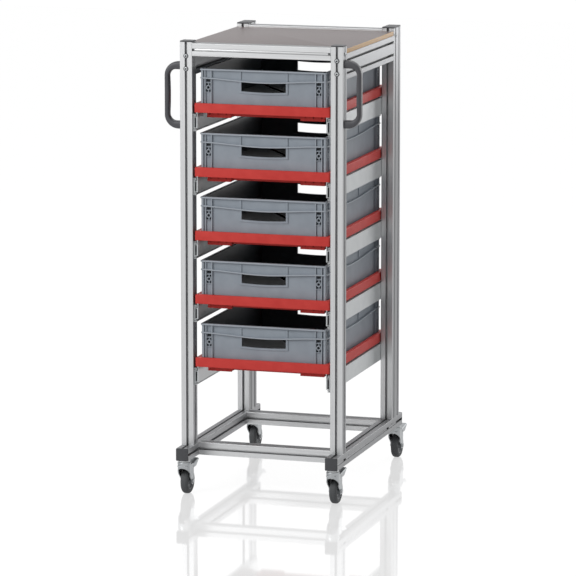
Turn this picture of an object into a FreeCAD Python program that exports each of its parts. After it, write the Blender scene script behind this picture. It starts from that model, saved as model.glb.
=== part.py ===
import FreeCAD, Part
import math
import os

V = FreeCAD.Vector
X_AXIS = V(1, 0, 0)
Y_AXIS = V(0, 1, 0)
Z_AXIS = V(0, 0, 1)
ORIGIN = V(0, 0, 0)

# Slotted aluminium profile, millimetres
profile = 40.0
profile_corner = 1.5
slot_opening = 8.0
slot_lip = 4.5
slot_cavity = 16.0
slot_floor = 8.0
slot_depth = 12.5
core_bore = 6.8
corner_wall = 3.0
corner_web = 1.0

# Frame layout
front_overhang = 52.0
rear_overhang = 38.0
rear_post_cells = 2
side_rail_cells = 2
base_cross_inset = 105.0
head_room = 85.0
first_level = 284.0
level_count = 5
level_gap = 80.0
top_rail_drop = 3.0
side_rail_drop = 23.0
cap_thickness = 4.0
cap_edge = 1.2
cap_peg_length = 10.0
cap_peg_clearance = 0.1

# Worktop board
worktop_thickness = 16.0
worktop_side_inset = 1.0
worktop_joint = 0.5

# Stacking box
box_width = 400.0
box_length = 600.0
box_height = 120.0
box_wall = 3.5
box_floor = 3.5
box_lip = 8.0
box_corner = 12.0
rim_lip_height = 5.0
band_lip_height = 3.0
band_height = 26.0
band_dip = 8.0
box_rib = 3.0
corner_column = 16.0
column_gap = 19.0
pillar_inset = 3.0
foot_height = 5.0
foot_inset = 5.0
foot_wall = 6.0
hand_hole_width = 140.0
hand_hole_height = 28.0
hand_hole_drop = 1.5
hand_hole_corner = 4.0
hand_hole_frame = 4.0
lattice_height = 26.0
lattice_depth = 2.0
lattice_bar = 2.5
lattice_edge = 1.0
lattice_pocket_width = 3.6
lattice_pocket_height = 6.0

# Tray that carries a box
tray_side_clearance = 4.0
tray_rim_width = 15.0
tray_rim_height = 29.0
tray_wall = 3.5
tray_corner = 14.0
tray_set_back = 6.0
tray_rear_clearance = 9.0
box_clearance = 4.0
box_sink = 19.0
tray_ledge = 50.0
keel_side_inset = 29.0
keel_end_inset = 42.0
keel_depth = 12.0
pad_width = 78.0
pad_length = 62.0
pad_depth = 22.0
pad_gusset_count = 4
pad_gusset_reach = 14.0

# Telescopic slide, three members to a side
slide_height = 53.0
slide_depth = 10.0
slide_wall = 2.0
slide_rear_clearance = 27.0
slide_set_back = 6.0
slide_drop = 8.0
running_gap = 1.0
bearing_gap = 2.4
bearing_play = 0.3
bearing_length = 200.0
bearing_inset = 20.0
bracket_sheet = 2.0
bracket_flange = 18.0

# Bow handles on the outer faces of the front posts
handle_height = 210.0
handle_stand_off = 54.0
handle_depth = 26.0
handle_leg = 25.0
handle_bar = 14.0
handle_swell_degrees = 6.0
handle_outer_radius = 44.0
handle_inner_radius = 22.0
handle_round = 5.0
handle_left_drop = 62.0
handle_right_drop = 41.0

# Fasteners
screw_shaft = 6.6
screw_hole = 7.0
screw_head = 11.0
screw_head_height = 4.5
screw_pocket = 12.0
screw_pocket_depth = 3.0
screw_grip = 25.0
socket_size = 5.0
socket_depth = 2.5
nut_width = 11.0
nut_height = 4.0
nut_lift = 0.2
slide_screw = 6.0
slide_screw_hole = 6.2
stud_depth = 16.0
lock_pin = 3.2
lock_pin_spread = 5.8

# Slot cover strips
cover_thickness = 3.0
cover_recess = 0.5
cover_gap = 10.0
cover_gap_lead = 43.0
cover_rear_stop = 70.0

# Swivel castors with brake pedals
castor_head_room = 33.0
castor_inset = 18.0
castor_trail = 32.0
wheel_radius = 40.0
tyre_width = 25.0
tyre_shoulder = 9.0
hub_radius = 27.0
hub_width = 19.0
hub_boss_radius = 11.0
hub_end_gap = 0.5
hub_dish = 3.0
hub_rim = 5.0
tyre_fit = 0.1
axle_diameter = 8.0
axle_fit = 0.05
axle_head = 13.0
axle_head_height = 4.0
fork_plate = 3.0
fork_clearance = 2.0
fork_head = 42.0
fork_crown_height = 11.0
fork_front_reach = 20.0
fork_shoulder = 8.0
fork_skirt = 20.0
fork_eye_radius = 11.0
fork_round = 3.0
mount_disc = 38.0
mount_disc_height = 5.0
mount_stem = 7.6
swivel_gap = 0.4
kingpin = 10.0
kingpin_head = 16.0
kingpin_head_height = 3.0
pedal_reach = 103.0
pedal_front_gap = 1.0
pedal_height = 21.0
pedal_top_drop = 13.0
pedal_sheet = 2.2
pedal_side_gap = 0.5
pedal_pin = 5.0
pedal_pin_behind = 6.0
pedal_pin_lead = 5.0
pedal_pin_drop = 13.5

# Overrun of every cutting shape past the faces that it cuts, and how far off an axis still counts as along it
overrun = 2.0
axis_tolerance_degrees = 1.0

# Sizes that follow from the ones above
cell = profile
half_profile = profile / 2
slot_root = half_profile - slot_depth
corner_hollow = half_profile - corner_wall - slot_cavity / 2 - corner_web
rear_post_depth = profile * rear_post_cells
side_rail_height = profile * side_rail_cells
tray_width = box_width + 2 * (box_clearance + tray_rim_width)
tray_length = box_length + 2 * (box_clearance + tray_rim_width)
frame_gap = tray_width + 2 * tray_side_clearance
half_gap = frame_gap / 2
post_x = half_gap + half_profile
half_width = half_gap + profile
frame_depth = tray_set_back + tray_length + tray_rear_clearance
slide_length = frame_depth - slide_set_back - slide_rear_clearance
post_gap = frame_depth - profile - rear_post_depth
rail_length = front_overhang + frame_depth + rear_overhang
level_pitch = box_height + level_gap
box_proud = box_height - box_sink
post_length = first_level + (level_count - 1) * level_pitch + box_proud + head_room

total_depth = cap_thickness + rail_length - castor_inset + pedal_reach
rail_front = cap_thickness - total_depth / 2
rail_rear = rail_front + rail_length
front_post_y = rail_front + front_overhang
front_post_back = front_post_y + profile
rear_post_y = front_post_back + post_gap
rear_post_back = rear_post_y + rear_post_depth
base_front_y = rail_front + base_cross_inset + half_profile
base_rear_y = rail_rear - base_cross_inset - half_profile

castor_height = 2 * wheel_radius + castor_head_room
rail_low = castor_height
post_low = rail_low + profile
post_top = post_low + post_length
top_rail_z = post_top - top_rail_drop - half_profile
side_rail_top = post_top - side_rail_drop
side_rail_z = side_rail_top - side_rail_height / 2

tray_front = front_post_y + tray_set_back
tray_centre_y = tray_front + tray_length / 2
slide_front = front_post_y + slide_set_back

wheel_y = castor_trail
axle_z = wheel_radius
crown_high = castor_height - mount_disc_height - swivel_gap
crown_low = crown_high - fork_crown_height
plate_low = crown_low - fork_plate
arm_inner = tyre_width / 2 + fork_clearance
arm_outer = arm_inner + fork_plate
pedal_top = castor_height - pedal_top_drop
pedal_pin_y = wheel_y + pedal_pin_behind
pedal_pin_z = pedal_top - pedal_pin_drop
pedal_root = pedal_pin_y - pedal_pin_lead
fork_rear_reach = pedal_root - pedal_front_gap

castor_places = {
    "front_left": (-post_x, rail_front + castor_inset),
    "front_right": (post_x, rail_front + castor_inset),
    "rear_left": (-post_x, rail_rear - castor_inset),
    "rear_right": (post_x, rail_rear - castor_inset),
}


# General shape helpers
def block(x_span, y_span, z_span):
    size = (x_span[1] - x_span[0], y_span[1] - y_span[0], z_span[1] - z_span[0])
    return Part.makeBox(*size, V(x_span[0], y_span[0], z_span[0]))


def centred_block(width, depth, z_span):
    return block((-width / 2, width / 2), (-depth / 2, depth / 2), z_span)


def edges_along(shape, axis):
    least = math.cos(math.radians(axis_tolerance_degrees))
    found = []
    for edge in shape.Edges:
        run = edge.lastVertex().Point - edge.firstVertex().Point
        if run.Length and abs(run.normalize().dot(axis)) > least:
            found.append(edge)
    return found


def rounded_block(width, depth, z_span, radius):
    shape = centred_block(width, depth, z_span)
    return shape.makeFillet(radius, edges_along(shape, Z_AXIS))


def rod(diameter, start, direction, length):
    return Part.makeCylinder(diameter / 2, length, start, direction)


def prism(points, run):
    """Close the points into a flat face and carry it along a vector."""
    return Part.Face(Part.makePolygon(points + points[:1])).extrude(run)


def moved(shape, x=0, y=0, z=0):
    copy = shape.copy()
    copy.translate(V(x, y, z))
    return copy


def turned(shape, axis, angle):
    copy = shape.copy()
    copy.rotate(ORIGIN, axis, angle)
    return copy


def mirrored(shape, normal):
    return shape.mirror(ORIGIN, normal)


def fused(shapes):
    return shapes[0].multiFuse(shapes[1:]).removeSplitter()


def save(node, shapes):
    """Write a node as one file, its solids side by side."""
    solids = []
    for shape in shapes:
        solids.extend(shape.Solids)
    for solid in solids:
        if not solid.isValid():
            print("invalid solid in", node)
    whole = solids[0] if len(solids) == 1 else Part.makeCompound(solids)
    whole.exportStep("parts/" + node + ".step")
    print(node, len(solids), "solids", round(sum(solid.Volume for solid in solids)), "mm3")


# Profile bars and what is cut in them
def slot_tool(length):
    """A T-shaped slot in the +X face of a bar that runs along Z."""
    face = half_profile + overrun
    neck = half_profile - slot_lip
    half = [
        (face, slot_opening / 2),
        (neck, slot_opening / 2),
        (neck, slot_cavity / 2),
        (slot_root, slot_floor / 2),
    ]
    outline = half + [(x, -y) for x, y in reversed(half)]
    return prism([V(x, y, -overrun) for x, y in outline], V(0, 0, length + 2 * overrun))


def profile_bar(length, cells):
    """A bar along +Z, one cell wide in X and the given number of cells deep in Y."""
    bar = rounded_block(profile, cell * cells, (0, length), profile_corner)
    slot = slot_tool(length)
    end_shift = cell * (cells - 1) / 2
    tools = [moved(turned(slot, Z_AXIS, 90), y=end_shift)]
    tools.append(moved(turned(slot, Z_AXIS, -90), y=-end_shift))
    hollow_at = half_profile - corner_wall - corner_hollow / 2
    hollow = centred_block(corner_hollow, corner_hollow, (-overrun, length + overrun))
    for index in range(cells):
        y = cell * index - end_shift
        tools.append(moved(slot, y=y))
        tools.append(moved(turned(slot, Z_AXIS, 180), y=y))
        tools.append(rod(core_bore, V(0, y, -overrun), Z_AXIS, length + 2 * overrun))
        for side in (-1, 1):
            for end in (-1, 1):
                tools.append(moved(hollow, side * hollow_at, y + end * hollow_at))
    return bar.cut(tools)


def bar_along_y(length, cells):
    return turned(profile_bar(length, cells), X_AXIS, -90)


def bar_along_x(length):
    return turned(profile_bar(length, 1), Y_AXIS, 90)


def screw_cut(place, inward, depth):
    """The pocket of a screw head and the hole that its shaft goes through."""
    lead = place - inward * overrun
    pocket = rod(screw_pocket, lead, inward, screw_pocket_depth + overrun)
    return [pocket, rod(screw_hole, lead, inward, depth + 2 * overrun)]


def frame_screw(place, inward, depth):
    """A socket head screw through a bar of the given depth into the next bar's core bore."""
    seat = place + inward * screw_pocket_depth
    top = seat - inward * screw_head_height
    shaft_length = depth - screw_pocket_depth + screw_grip
    screw = rod(screw_head, top, inward, screw_head_height).fuse(rod(screw_shaft, seat, inward, shaft_length))
    socket = rod(socket_size, top - inward * overrun, inward, socket_depth + overrun)
    return screw.removeSplitter().cut(socket)


def slot_nut(place, inward, shaft):
    """A shaft that passes a slot's lips and its nut behind them."""
    nut_start = slot_lip + nut_lift
    stem = rod(shaft, place, inward, nut_start)
    nut = rod(nut_width, place + inward * nut_start, inward, nut_height)
    return fused([stem, nut])


# Frame screws: place on the outer face, direction inward, depth of the bar they cross
def side_rail_screws(post_face_y, inward, depth, side):
    rows = [side_rail_z - cell / 2, side_rail_z + cell / 2]
    return [(V(side * post_x, post_face_y, z), inward, depth) for z in rows]


def post_screws(corner):
    """All screws that enter a post through its own faces."""
    front = corner.startswith("front")
    side = -1 if corner.endswith("left") else 1
    face_y = front_post_y if front else rear_post_back
    depth = profile if front else rear_post_depth
    rail_y = (front_post_y if front else rear_post_y) + half_profile
    rows = side_rail_screws(face_y, Y_AXIS if front else -Y_AXIS, depth, side)
    rows.append((V(side * half_width, rail_y, top_rail_z), X_AXIS * -side, profile))
    return rows


def foot_screws(side):
    """Screws that come up through a base side rail into the posts on it."""
    places = [front_post_y + half_profile]
    places += [rear_post_y + half_profile + cell * index for index in range(rear_post_cells)]
    return [(V(side * post_x, y, rail_low), Z_AXIS, profile) for y in places]


def lock_pins(side):
    """Pairs of pins in the lips of a base side rail, one pair to each cross rail."""
    pins = []
    for y in (base_front_y, base_rear_y):
        for rise in (-lock_pin_spread, lock_pin_spread):
            start = V(side * half_width, y, rail_low + half_profile + rise)
            pins.append((start, X_AXIS * -side))
    return pins


def make_posts():
    for corner in castor_places:
        front = corner.startswith("front")
        side = -1 if corner.endswith("left") else 1
        cells = 1 if front else rear_post_cells
        depth = profile if front else rear_post_depth
        start_y = front_post_y if front else rear_post_y
        bar = moved(profile_bar(post_length, cells), side * post_x, start_y + depth / 2, post_low)
        cuts = []
        for place, inward, reach in post_screws(corner):
            cuts += screw_cut(place, inward, reach)
        save("post_" + corner, [bar.cut(cuts)])


def make_top_rails():
    for name, side in (("left", -1), ("right", 1)):
        bar = moved(bar_along_y(post_gap, side_rail_cells), side * post_x, front_post_back, side_rail_z)
        save("top_side_rail_" + name, [bar])
    for name, y in (("front", front_post_y), ("rear", rear_post_y)):
        bar = moved(bar_along_x(frame_gap), -half_gap, y + half_profile, top_rail_z)
        save("top_" + name + "_rail", [bar])


def make_base_rails():
    for name, side in (("left", -1), ("right", 1)):
        bar = moved(bar_along_y(rail_length, 1), side * post_x, rail_front, rail_low + half_profile)
        cuts = []
        for place, inward, reach in foot_screws(side):
            cuts += screw_cut(place, inward, reach)
        for start, inward in lock_pins(side):
            cuts.append(rod(lock_pin, start - inward * overrun, inward, slot_lip + overrun))
        save("base_side_rail_" + name, [bar.cut(cuts)])
    for name, y in (("front", base_front_y), ("rear", base_rear_y)):
        save("base_" + name + "_rail", [moved(bar_along_x(frame_gap), -half_gap, y, rail_low + half_profile)])


def make_screws():
    screws = []
    for corner in castor_places:
        screws += [frame_screw(*row) for row in post_screws(corner)]
    for side in (-1, 1):
        screws += [frame_screw(*row) for row in foot_screws(side)]
        screws += [rod(lock_pin, start, inward, slot_lip) for start, inward in lock_pins(side)]
        screws += slide_screws(side)
        screws += handle_studs(side)
    save("screws", screws)


# End caps, slot covers and worktop
def cap_plate(cells):
    """A cap on the end of a bar along +Z, chamfered round its outer edge, with a peg per core bore."""
    plate = rounded_block(profile, cell * cells, (0, cap_thickness), profile_corner)
    outer = [edge for edge in plate.Edges if edge.BoundBox.ZMin > cap_thickness / 2]
    plate = plate.makeChamfer(cap_edge, outer)
    pegs = []
    for index in range(cells):
        y = cell * index - cell * (cells - 1) / 2
        pegs.append(rod(core_bore - 2 * cap_peg_clearance, V(0, y, -cap_peg_length), Z_AXIS, cap_peg_length))
    return fused([plate] + pegs)


def make_end_caps():
    small = cap_plate(1)
    large = cap_plate(rear_post_cells)
    caps = []
    for side in (-1, 1):
        caps.append(moved(small, side * post_x, front_post_y + half_profile, post_top))
        caps.append(moved(large, side * post_x, rear_post_y + rear_post_depth / 2, post_top))
        rail_z = rail_low + half_profile
        caps.append(moved(turned(small, X_AXIS, 90), side * post_x, rail_front, rail_z))
        caps.append(moved(turned(small, X_AXIS, -90), side * post_x, rail_rear, rail_z))
    save("end_caps", caps)


def make_slot_covers():
    """Flush strips in the outer slots of the base side rails and of the top cross rails."""
    strips = []
    half_gap_cut = cover_gap / 2
    holes = [base_front_y - cover_gap_lead, base_rear_y - cover_gap_lead]
    ends = [rail_front, holes[0] - half_gap_cut, holes[0] + half_gap_cut]
    ends += [holes[1] - half_gap_cut, holes[1] + half_gap_cut, rail_rear - cover_rear_stop]
    face = half_width - cover_recess
    rail_mid = rail_low + half_profile
    slot_span = (rail_mid - slot_opening / 2, rail_mid + slot_opening / 2)
    for start, stop in zip(ends[0::2], ends[1::2]):
        strip = block((face - cover_thickness, face), (start, stop), slot_span)
        strips += [strip, mirrored(strip, X_AXIS)]
    top_span = (top_rail_z - slot_opening / 2, top_rail_z + slot_opening / 2)
    front_face = front_post_y + cover_recess
    rear_face = rear_post_y + profile - cover_recess
    strips.append(block((-half_gap, half_gap), (front_face, front_face + cover_thickness), top_span))
    strips.append(block((-half_gap, half_gap), (rear_face - cover_thickness, rear_face), top_span))
    save("slot_covers", strips)


def make_worktop():
    half = half_width - worktop_side_inset
    y_span = (front_post_back + worktop_joint, rear_post_y - worktop_joint)
    save("worktop", [block((-half, half), y_span, (side_rail_top, side_rail_top + worktop_thickness))])


# Stacking box, its own origin at the middle of its underside
def arched_lip(width, depth):
    """A lip that hangs lower in the middle than at its ends, along X, its back face on y = 0."""
    top = box_height - band_height + band_lip_height
    low = top - band_lip_height
    half = width / 2
    upper = Part.Arc(V(-half, 0, top), V(0, 0, top - band_dip), V(half, 0, top)).toShape()
    lower = Part.Arc(V(half, 0, low), V(0, 0, low - band_dip), V(-half, 0, low)).toShape()
    right = Part.makeLine(V(half, 0, top), V(half, 0, low))
    left = Part.makeLine(V(-half, 0, low), V(-half, 0, top))
    return Part.Face(Part.Wire([upper, right, lower, left])).extrude(V(0, -depth, 0))


def lip_dip(x, width):
    """How far the arched lip hangs below its ends at a place x along its width."""
    return band_dip * (1 - (2 * x / width) ** 2)


def box_end(width, length, with_hole):
    """Lip, ribs, columns and hand hole frame on the -Y wall of a box of this width and length."""
    wall_y = -(length / 2 - box_lip)
    half = width / 2
    lip_low = box_height - band_height
    lip_width = width - 2 * pillar_inset
    pieces = [moved(arched_lip(lip_width, box_lip - pillar_inset / 2), y=wall_y)]
    rib_span = (wall_y - box_lip + pillar_inset, wall_y)
    column_out = half - pillar_inset - corner_column
    column_in = column_out - column_gap
    rib_places = [column_out, column_in, hand_hole_width / 2 + hand_hole_frame]
    for side in (-1, 1):
        for x in rib_places:
            low = lip_low - lip_dip(x, lip_width) + band_lip_height / 2
            span = (side * x - box_rib / 2, side * x + box_rib / 2)
            pieces.append(block(span, rib_span, (low, box_height - rim_lip_height)))
        for x in rib_places[:2]:
            span = (side * x - box_rib / 2, side * x + box_rib / 2)
            pieces.append(block(span, rib_span, (foot_height, lip_low)))
        pillar = sorted((side * column_out, side * (half - box_corner)))
        pieces.append(block(pillar, rib_span, (foot_height, lip_low)))
        plate = sorted((side * column_in, side * column_out))
        plate_top = lip_low - lip_dip(column_in, lip_width) - lattice_bar
        bars = block(plate, (wall_y - lattice_depth, wall_y), (plate_top - lattice_height, plate_top))
        centre = V((plate[0] + plate[1]) / 2, wall_y, plate_top - lattice_height / 2)
        pieces.append(bars)
        pieces.append(rod(column_gap - box_rib - lattice_bar, centre, -Y_AXIS, 2 * lattice_depth))
    if with_hole:
        hole_top = lip_low - band_dip - hand_hole_drop
        hole_low = hole_top - hand_hole_height
        reach = hand_hole_width / 2 + hand_hole_frame
        frame_top = hole_top + hand_hole_drop + band_lip_height / 2
        frame_span = (hole_low - hand_hole_frame, frame_top)
        pieces.append(block((-reach, reach), (wall_y - hand_hole_frame, wall_y), frame_span))
    return pieces


def hand_hole_cut(length):
    """A straight slot through both short ends, rounded in its lower corners."""
    top = box_height - band_height - band_dip - hand_hole_drop
    cut = centred_block(hand_hole_width, length + 2 * overrun, (top - hand_hole_height, top))
    return cut.makeFillet(hand_hole_corner, edges_along(cut, Y_AXIS))


def lattice_cuts(width, length):
    """Blind corner holes and a centre hole in the lattice plates of the -Y wall."""
    wall_y = -(length / 2 - box_lip)
    half = width / 2
    column_out = half - pillar_inset - corner_column
    column_in = column_out - column_gap
    plate_top = box_height - band_height - lip_dip(column_in, width - 2 * pillar_inset) - lattice_bar
    middle_z = plate_top - lattice_height / 2
    hole = column_gap - box_rib - 3 * lattice_bar
    pocket_x = (column_gap - box_rib) / 2 - lattice_edge
    pocket_z = lattice_height / 2 - lattice_edge
    start = wall_y - 2 * lattice_depth - overrun
    cuts = []
    for side in (-1, 1):
        middle_x = side * (column_out + column_in) / 2
        place = V(middle_x, start, middle_z)
        cuts.append(rod(hole, place, Y_AXIS, 2 * lattice_depth + overrun))
        for across in (-1, 1):
            for up in (-1, 1):
                x_span = sorted((across * pocket_x, across * (pocket_x - lattice_pocket_width)))
                z_span = sorted((up * pocket_z, up * (pocket_z - lattice_pocket_height)))
                pocket = block(x_span, (start, wall_y), z_span)
                cuts.append(moved(pocket, middle_x, 0, middle_z))
    return cuts


def make_box_shape():
    """A straight walled container with an outward rim, a band of ribs under it and a stepped foot."""
    shell_width = box_width - 2 * box_lip
    shell_length = box_length - 2 * box_lip
    shell = rounded_block(shell_width, shell_length, (foot_height, box_height), box_corner)
    foot_size = (shell_width - 2 * foot_inset, shell_length - 2 * foot_inset)
    foot = rounded_block(*foot_size, (0, foot_height), box_corner - foot_inset / 2)
    rim = rounded_block(box_width, box_length, (box_height - rim_lip_height, box_height), box_corner)
    pieces = [shell, foot, rim]
    pieces += box_end(box_width, box_length, True)
    pieces += [turned(piece, Z_AXIS, 180) for piece in box_end(box_width, box_length, True)]
    for angle in (90, -90):
        pieces += [turned(piece, Z_AXIS, angle) for piece in box_end(box_length, box_width, False)]
    body = pieces[0].multiFuse(pieces[1:])
    inner = (shell_width - 2 * box_wall, shell_length - 2 * box_wall)
    cavity = rounded_block(*inner, (box_floor + foot_height, box_height + overrun), box_corner - box_wall)
    under_size = (foot_size[0] - 2 * foot_wall, foot_size[1] - 2 * foot_wall)
    under = rounded_block(*under_size, (-overrun, foot_height), box_corner - foot_wall)
    cuts = [cavity, under, hand_hole_cut(box_length)]
    for angle in (0, 180):
        cuts += [turned(cut, Z_AXIS, angle) for cut in lattice_cuts(box_width, box_length)]
    for angle in (90, -90):
        cuts += [turned(cut, Z_AXIS, angle) for cut in lattice_cuts(box_length, box_width)]
    return body.cut(cuts).removeSplitter()


# Tray, its own origin at the middle of its rim's top plane
def corner_pad():
    """A ribbed pad under one corner of the tray, its outer corner at the origin, reaching +X and +Y."""
    top = -box_sink - tray_wall
    low = -tray_rim_height - pad_depth
    body = block((0, pad_width), (0, pad_length), (low, top))
    step = (pad_width - tray_wall) / (pad_gusset_count - 1)
    pockets = []
    gussets = []
    for index in range(pad_gusset_count):
        x = step * index
        if index < pad_gusset_count - 1:
            span = (x + tray_wall, x + step)
            pockets.append(block(span, (tray_wall, pad_length - tray_wall), (low - overrun, top - tray_wall)))
        side = [V(x, 0, low), V(x, 0, -tray_rim_height), V(x, -pad_gusset_reach, -tray_rim_height)]
        gussets.append(prism(side, V(tray_wall, 0, 0)))
    return body.cut(pockets).multiFuse(gussets)


def make_tray_shape():
    """A rim of inverted U section round a ledge, with a keel frame and four corner pads under it."""
    outer = rounded_block(tray_width, tray_length, (-tray_rim_height, 0), tray_corner)
    pocket = (box_width + 2 * box_clearance, box_length + 2 * box_clearance)
    pocket_corner = box_corner + box_clearance
    inner_wall = (pocket[0] + 2 * tray_wall, pocket[1] + 2 * tray_wall)
    low = -tray_rim_height - overrun
    ledge_low = -box_sink - tray_wall
    top_cut = rounded_block(*pocket, (-box_sink, overrun), pocket_corner)
    channel_size = (tray_width - 2 * tray_wall, tray_length - 2 * tray_wall)
    channel = rounded_block(*channel_size, (low, -tray_wall), tray_corner - tray_wall)
    channel = channel.cut(rounded_block(*inner_wall, (low, 0), pocket_corner))
    under = rounded_block(*pocket, (low, ledge_low), pocket_corner)
    window_size = (pocket[0] - 2 * tray_ledge, pocket[1] - 2 * tray_ledge)
    window = rounded_block(*window_size, (low, overrun), pocket_corner)
    deck = outer.cut([top_cut, channel, under, window])
    keel = (tray_width - 2 * keel_side_inset, tray_length - 2 * keel_end_inset)
    keel_span = (-tray_rim_height - keel_depth, ledge_low)
    ring = rounded_block(*keel, keel_span, pocket_corner)
    hole_size = (keel[0] - 2 * tray_wall, keel[1] - 2 * tray_wall)
    hole = rounded_block(*hole_size, keel_span, pocket_corner - tray_wall)
    pieces = [ring.cut(hole)]
    pad = moved(corner_pad(), -keel[0] / 2, -keel[1] / 2)
    for flip_x in (False, True):
        for flip_y in (False, True):
            piece = mirrored(pad, X_AXIS) if flip_x else pad
            pieces.append(mirrored(piece, Y_AXIS) if flip_y else piece)
    return deck.multiFuse(pieces).removeSplitter()


# Slides: u runs inward from the post face, v runs up from the slide's middle
outer_half = slide_height / 2
middle_half = outer_half - slide_wall - bearing_gap
inner_half = middle_half - slide_wall - bearing_gap
middle_web = slide_wall + running_gap
middle_rim = slide_depth + running_gap
inner_rim = middle_web + slide_wall + running_gap
inner_web = middle_rim
inner_face = inner_web + slide_wall


def slide_bar(u_span, v_span, y_span):
    """A straight run of slide section on the right-hand post face."""
    return block((half_gap - u_span[1], half_gap - u_span[0]), y_span, v_span)


def channel(web, rim, half, y_span):
    """A channel with its web at one depth and two flanges that reach to the rim's depth."""
    near, far = sorted((web[0], web[1], rim))[0::2]
    pieces = [slide_bar(web, (-half, half), y_span)]
    pieces.append(slide_bar((near, far), (half - slide_wall, half), y_span))
    pieces.append(slide_bar((near, far), (-half, slide_wall - half), y_span))
    return fused(pieces)


def slide_outer():
    y_span = (slide_front, slide_front + slide_length)
    bar = channel((0, slide_wall), slide_depth, outer_half, y_span)
    holes = []
    for y in (front_post_y + half_profile, rear_post_y + half_profile):
        holes.append(rod(slide_screw_hole, V(half_gap + overrun, y, 0), -X_AXIS, slide_wall + 2 * overrun))
    return bar.cut(holes)


def slide_middle():
    """The middle member with its bearing strips, one pair for each neighbour."""
    y_span = (slide_front, slide_front + slide_length)
    pieces = [channel((middle_web, middle_web + slide_wall), middle_rim, middle_half, y_span)]
    rear = (y_span[1] - bearing_inset - bearing_length, y_span[1] - bearing_inset)
    front = (y_span[0] + bearing_inset, y_span[0] + bearing_inset + bearing_length)
    strip = bearing_gap - bearing_play
    flange_low = middle_half - slide_wall
    outer_span = (middle_half, middle_half + strip)
    inner_span = (flange_low - strip, flange_low)
    for span, run, reach in ((outer_span, rear, slide_depth), (inner_span, front, middle_rim)):
        u_span = (inner_rim, reach)
        pieces.append(slide_bar(u_span, span, run))
        pieces.append(slide_bar(u_span, (-span[1], -span[0]), run))
    return pieces


def slide_inner():
    """The inner member and the angle bracket that carries the tray's rim."""
    y_span = (slide_front, slide_front + slide_length)
    bar = channel((inner_web, inner_face), inner_rim, inner_half, y_span)
    leaf = (inner_face, inner_face + bracket_sheet)
    top = outer_half + slide_drop
    upright = slide_bar(leaf, (-inner_half, top), y_span)
    flange = slide_bar((inner_face, inner_face + bracket_flange), (top - bracket_sheet, top), y_span)
    return [bar, fused([upright, flange])]


def slide_screws(side):
    """Countersunk flush screws with slot nuts that hold the outer members on one side."""
    screws = []
    inward = X_AXIS * side
    for level in range(level_count):
        for y in (front_post_y + half_profile, rear_post_y + half_profile):
            face = V(side * half_gap, y, slide_middle_z(level))
            head = rod(slide_screw, face - inward * slide_wall, inward, slide_wall)
            screws.append(fused([head, slot_nut(face, inward, slide_screw)]))
    return screws


def tray_top_z(level):
    """Height of a tray's rim, level 0 at the top."""
    return post_low + first_level + (level_count - 1 - level) * level_pitch


def slide_middle_z(level):
    return tray_top_z(level) - tray_rim_height - slide_drop - outer_half


def make_drawers():
    box_shape = make_box_shape()
    tray_shape = make_tray_shape()
    middle = slide_middle()
    inner = slide_inner()
    outer = slide_outer()
    rails = []
    for level in range(level_count):
        number = str(level + 1)
        rim_z = tray_top_z(level)
        slide_z = slide_middle_z(level)
        save("box_" + number, [moved(box_shape, 0, tray_centre_y, rim_z - box_sink)])
        save("tray_" + number, [moved(tray_shape, 0, tray_centre_y, rim_z)])
        for node, members in (("slide_middle_", middle), ("slide_inner_", inner)):
            placed = [moved(member, z=slide_z) for member in members]
            save(node + number, placed + [mirrored(member, X_AXIS) for member in placed])
        rail = moved(outer, z=slide_z)
        rails += [rail, mirrored(rail, X_AXIS)]
    save("slide_outer_rails", rails)


# Handles
def handle_middle_z(side):
    drop = handle_left_drop if side < 0 else handle_right_drop
    return post_top - drop - handle_height / 2


def handle_shape():
    """A bow on the right-hand face x = 0: a flat outline in X and Z, given its depth and rounded."""
    high = handle_height / 2
    out = handle_stand_off
    big = handle_outer_radius
    small = handle_inner_radius
    grip = out - handle_bar
    leg = high - handle_leg
    swell = math.radians(handle_swell_degrees)
    centre_x = grip - small
    centre_z = leg - small
    grip_x = centre_x + small * math.cos(swell)
    grip_z = centre_z - small * math.sin(swell)
    inner_turn = (math.pi / 2 - swell) / 2

    def outer_corner(sign):
        turn = big * math.sqrt(0.5)
        return V(out - big + turn, 0, sign * (high - big + turn))

    def inner_corner(sign):
        return V(centre_x + small * math.cos(inner_turn), 0, sign * (centre_z + small * math.sin(inner_turn)))

    points = [V(0, 0, -high), V(out - big, 0, -high), V(out, 0, big - high), V(out, 0, high - big)]
    points += [V(out - big, 0, high), V(0, 0, high), V(0, 0, leg), V(centre_x, 0, leg)]
    points += [V(grip_x, 0, grip_z), V(grip_x, 0, -grip_z), V(centre_x, 0, -leg), V(0, 0, -leg)]
    bulge = V(grip_x - grip_z * math.tan(swell / 2), 0, 0)
    edges = [
        Part.makeLine(points[0], points[1]),
        Part.Arc(points[1], outer_corner(-1), points[2]).toShape(),
        Part.makeLine(points[2], points[3]),
        Part.Arc(points[3], outer_corner(1), points[4]).toShape(),
        Part.makeLine(points[4], points[5]),
        Part.makeLine(points[5], points[6]),
        Part.makeLine(points[6], points[7]),
        Part.Arc(points[7], inner_corner(1), points[8]).toShape(),
        Part.Arc(points[8], bulge, points[9]).toShape(),
        Part.Arc(points[9], inner_corner(-1), points[10]).toShape(),
        Part.makeLine(points[10], points[11]),
        Part.makeLine(points[11], points[0]),
    ]
    solid = Part.Face(Part.Wire(edges)).extrude(V(0, handle_depth, 0))
    solid.translate(V(0, -handle_depth / 2, 0))
    foot = overrun / 2
    long_edges = []
    for edge in solid.Edges:
        flat = edge.BoundBox.YLength < foot
        if flat and edge.BoundBox.XMax > foot:
            long_edges.append(edge)
    solid = solid.makeFillet(handle_round, long_edges)
    holes = []
    for z in (-handle_stud_z(), handle_stud_z()):
        holes.append(rod(screw_hole, V(-overrun, 0, z), X_AXIS, stud_depth + 2 * overrun))
    return solid.cut(holes)


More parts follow.
